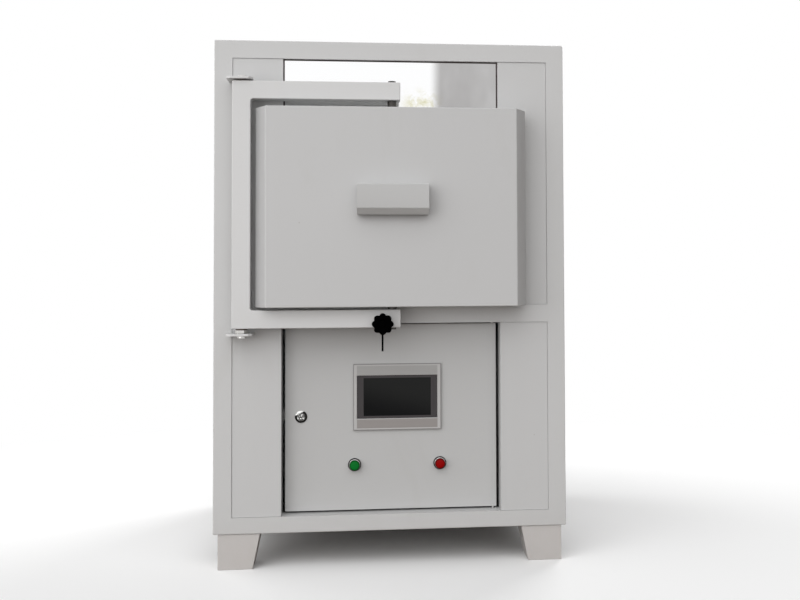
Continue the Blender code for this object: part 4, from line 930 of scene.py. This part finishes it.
def louvreSurface(x, z, s):
    # a hood that stands out by the cosine of its height and dies away at both ends by a high power;
    # the same surface, one wall thickness further in, closes it from behind
    across, up = s["hoodGrid"]
    u = np.linspace(-1, 1, across)[None, :]
    v = np.linspace(0, 1, up)[:, None]
    lift = s["rise"] * np.cos(v * np.pi / 2) * (1 - np.abs(u) ** s["hoodPower"]) ** 0.5
    base = s["start"] + s["sheet"]
    px, pz = np.broadcast_arrays(x + u * s["width"] / 2, z + v * s["drop"])
    outer = np.stack([px, base + lift, pz], -1)
    inner = np.stack([px, base + np.maximum(lift - s["wall"], -s["sink"]), pz], -1)
    return np.concatenate([outer, inner[::-1]])


def makeRear(s):
    # sheet: rounded rectangles with a small chamfer round the outer face
    centre = (0.0, (s["low"] + s["high"]) / 2)
    w, h, c = s["half"], (s["high"] - s["low"]) / 2, s["corner"]
    back = s["start"] + s["sheet"]
    sheetLoops = [(w, h, c, s["start"]), (w, h, c, back - 0.0004),
                  (w - 0.0003, h - 0.0003, c, back), (w - 0.001, h - 0.001, c, back)]
    dress(rectangleLoops("coverSheet", sheetLoops, centre, 6), "paint", "cabinet", ("rear_cover",))
    hoods = []
    for block in (s["low"] + s["first"], s["high"] - s["first"] - s["count"] * s["pitch"]):
        for index in range(s["count"]):
            for column in s["columns"]:
                shape = louvreSurface(column, block + index * s["pitch"], s)
                hoods.append(skin("hood", shape, wrapAcross=False, wrapAlong=True))
    dress(joined("louvreHoods", hoods), "paint", "cabinet")
    # screw heads: a quarter of an ellipse turned about the axis
    t = np.linspace(0, np.pi / 2, 8)
    dome = np.stack([s["headRadius"] * np.cos(t), back + s["headHeight"] * np.sin(t)], -1)
    profile = np.concatenate([[(0, back - s["sink"]), (s["headRadius"], back - s["sink"])], dome])
    heads = []
    span = s["high"] - s["low"] - 2 * s["inset"]
    for row in range(s["rows"]):
        for side in (-1, 1):
            place = (side * (s["half"] - s["inset"]), s["low"] + s["inset"] + row * span / (s["rows"] - 1))
            heads.append(turned("head", profile, place, s["headSides"]))
    dress(joined("coverScrewHeads", heads), "steel", "cabinet")


makeRear(coverSettings)


# weld beads: one under each hinge bracket, on the stile

weldSettings = {"radius": 0.0016, "ripple": 0.0042, "swell": 0.16, "inset": 0.004, "out": 0.0006,
                "below": 0.0004, "sides": 10, "sharp": 60}


def bead(name, start, end, s):
    # a tube along a line: its radius swells by a sine at each ripple and closes as a root at both ends
    start, end = np.asarray(start, float), np.asarray(end, float)
    length = np.linalg.norm(end - start)
    way = (end - start) / length
    side = np.cross(way, (0.31, 0.62, 0.72))     # any direction that isn't along the bead
    side = side / np.linalg.norm(side)
    other = np.cross(way, side)
    t = np.linspace(0, 1, max(12, int(length / s["ripple"] * 5)))
    taper = np.sqrt(np.clip(np.minimum(t, 1 - t) * length / (2 * s["radius"]), 0, 1))
    size = s["radius"] * taper * (1 + s["swell"] * np.sin(t * length / s["ripple"] * 2 * np.pi))
    angle = np.linspace(0, 2 * np.pi, s["sides"], endpoint=False)
    ring = np.cos(angle)[None, :, None] * side + np.sin(angle)[None, :, None] * other
    points = start + (t * length)[:, None, None] * way + size[:, None, None] * ring
    return skin(name, points, sharp=s["sharp"])


def makeWelds(s):
    low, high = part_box("hinge_bracket_top")
    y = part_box("front_frame")[0].y - s["out"]
    rows = []
    for bracket in ("hinge_bracket_top", "hinge_bracket_bottom"):
        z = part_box(bracket)[0].z - s["below"]
        rows.append(bead("bead", (low.x + s["inset"], y, z), (high.x - s["inset"], y, z), s))
    dress(joined("bracketBeads", rows), "armLitPaint", "cabinet")


makeWelds(weldSettings)


# circuit breaker: three toggles on its nose

toggleSettings = {"count": 3, "pitch": 0.0176, "half": (0.0042, 0.0052), "stand": 0.008, "sink": 0.001}


def makeToggles(s):
    # each lever is a short rounded bar that narrows over its last 1.5 mm
    low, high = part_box("circuit_breaker")
    centreX, centreZ = (low.x + high.x) / 2, (low.z + high.z) / 2
    w, h = s["half"]
    front = low.y - s["stand"]
    loops = [(w, h, 0.0010, low.y + s["sink"]), (w, h, 0.0012, front + 0.0015),
             (w * 0.85, h * 0.6, 0.0012, front), (w * 0.7, h * 0.4, 0.0008, front)]
    levers = []
    for index in range(s["count"]):
        x = centreX + (index - (s["count"] - 1) / 2) * s["pitch"]
        levers.append(rectangleLoops("lever", loops, (x, centreZ), 4))
    dress(joined("breakerToggles", levers), "darkPlastic", "cabinet")


makeToggles(toggleSettings)
print("rear cover, welds and toggles made")


# floor: pale near the object, where it keeps the shadow, and white further off

white = (1, 1, 1, 1)
floorSettings = {"half": 14.0, "colour": (0.92, 0.92, 0.92), "bounceColour": (0.19, 0.155, 0.130),
                 "near": 0.75, "far": 2.2, "rough": 0.9}


def makeFloor(s):
    # a flat square that the camera and mirrors see go white with distance; other rays meet bounceColour
    size = s["half"]
    corners = np.array([[[-size, -size, 0], [size, -size, 0]], [[-size, size, 0], [size, size, 0]]], float)
    floor = skin("studioFloor", corners, wrapAcross=False)
    f = Finish("studioFloorFinish")
    x, y = f.axes("XY")
    path = f.node("ShaderNodeLightPath", {}, {}, "Is Camera Ray")
    seen = path.atLeast(path.beside("Is Glossy Ray"))
    share = f.between((x * x + y * y).root(), s["near"], s["far"]) * seen
    grain = f.noise(60.0, 3.0, 0.6)
    shown = f.blend(grain * 0.3, s["colour"], tone(s["colour"], 0.985))
    f.give(colour=f.blend(seen, s["bounceColour"], shown), rough=s["rough"], specular=0.0)
    glow = f.node("ShaderNodeEmission", {}, {"Color": white, "Strength": 1.0})
    surface = Wire(f, f.shader.outputs[0])
    f.show(f.node("ShaderNodeMixShader", {}, {0: share, 1: surface, 2: glow}), "OUTPUT_MATERIAL")
    floor.data.materials.append(f.material)


def makeWorld(s):
    # white where it is seen or mirrored; as light it is strongest from the upper left in front
    world = bpy.data.worlds.new("studioWorld")
    bpy.context.scene.world = world
    world.use_nodes = True
    maker = NodeMaker(world.node_tree)
    path = maker.node("ShaderNodeLightPath", {}, {}, "Is Camera Ray")
    seen = path.atLeast(path.beside("Is Glossy Ray")).atLeast(path.beside("Is Transmission Ray"))
    direction = maker.node("ShaderNodeTexCoord", {}, {}, "Generated")
    sockets = {0: direction, 1: s["lobeFrom"]}
    facing = maker.node("ShaderNodeVectorMath", {"operation": "DOT_PRODUCT"}, sockets, "Value")
    level = facing.atLeast(0.0) * s["lobeLevel"] + s["baseLevel"]
    light = maker.node("ShaderNodeBackground", {}, {"Color": white, "Strength": level})
    plain = maker.node("ShaderNodeBackground", {}, {"Color": white, "Strength": 1.0})
    maker.show(maker.node("ShaderNodeMixShader", {}, {0: seen, 1: light, 2: plain}), "OUTPUT_WORLD")


makeCamera(cameraSettings)
makeLamps(lightSettings)
makeFloor(floorSettings)
makeWorld(lightSettings)
bpy.context.scene.view_settings.view_transform = "Standard"
print("studio ready")

bpy.context.view_layer.update()
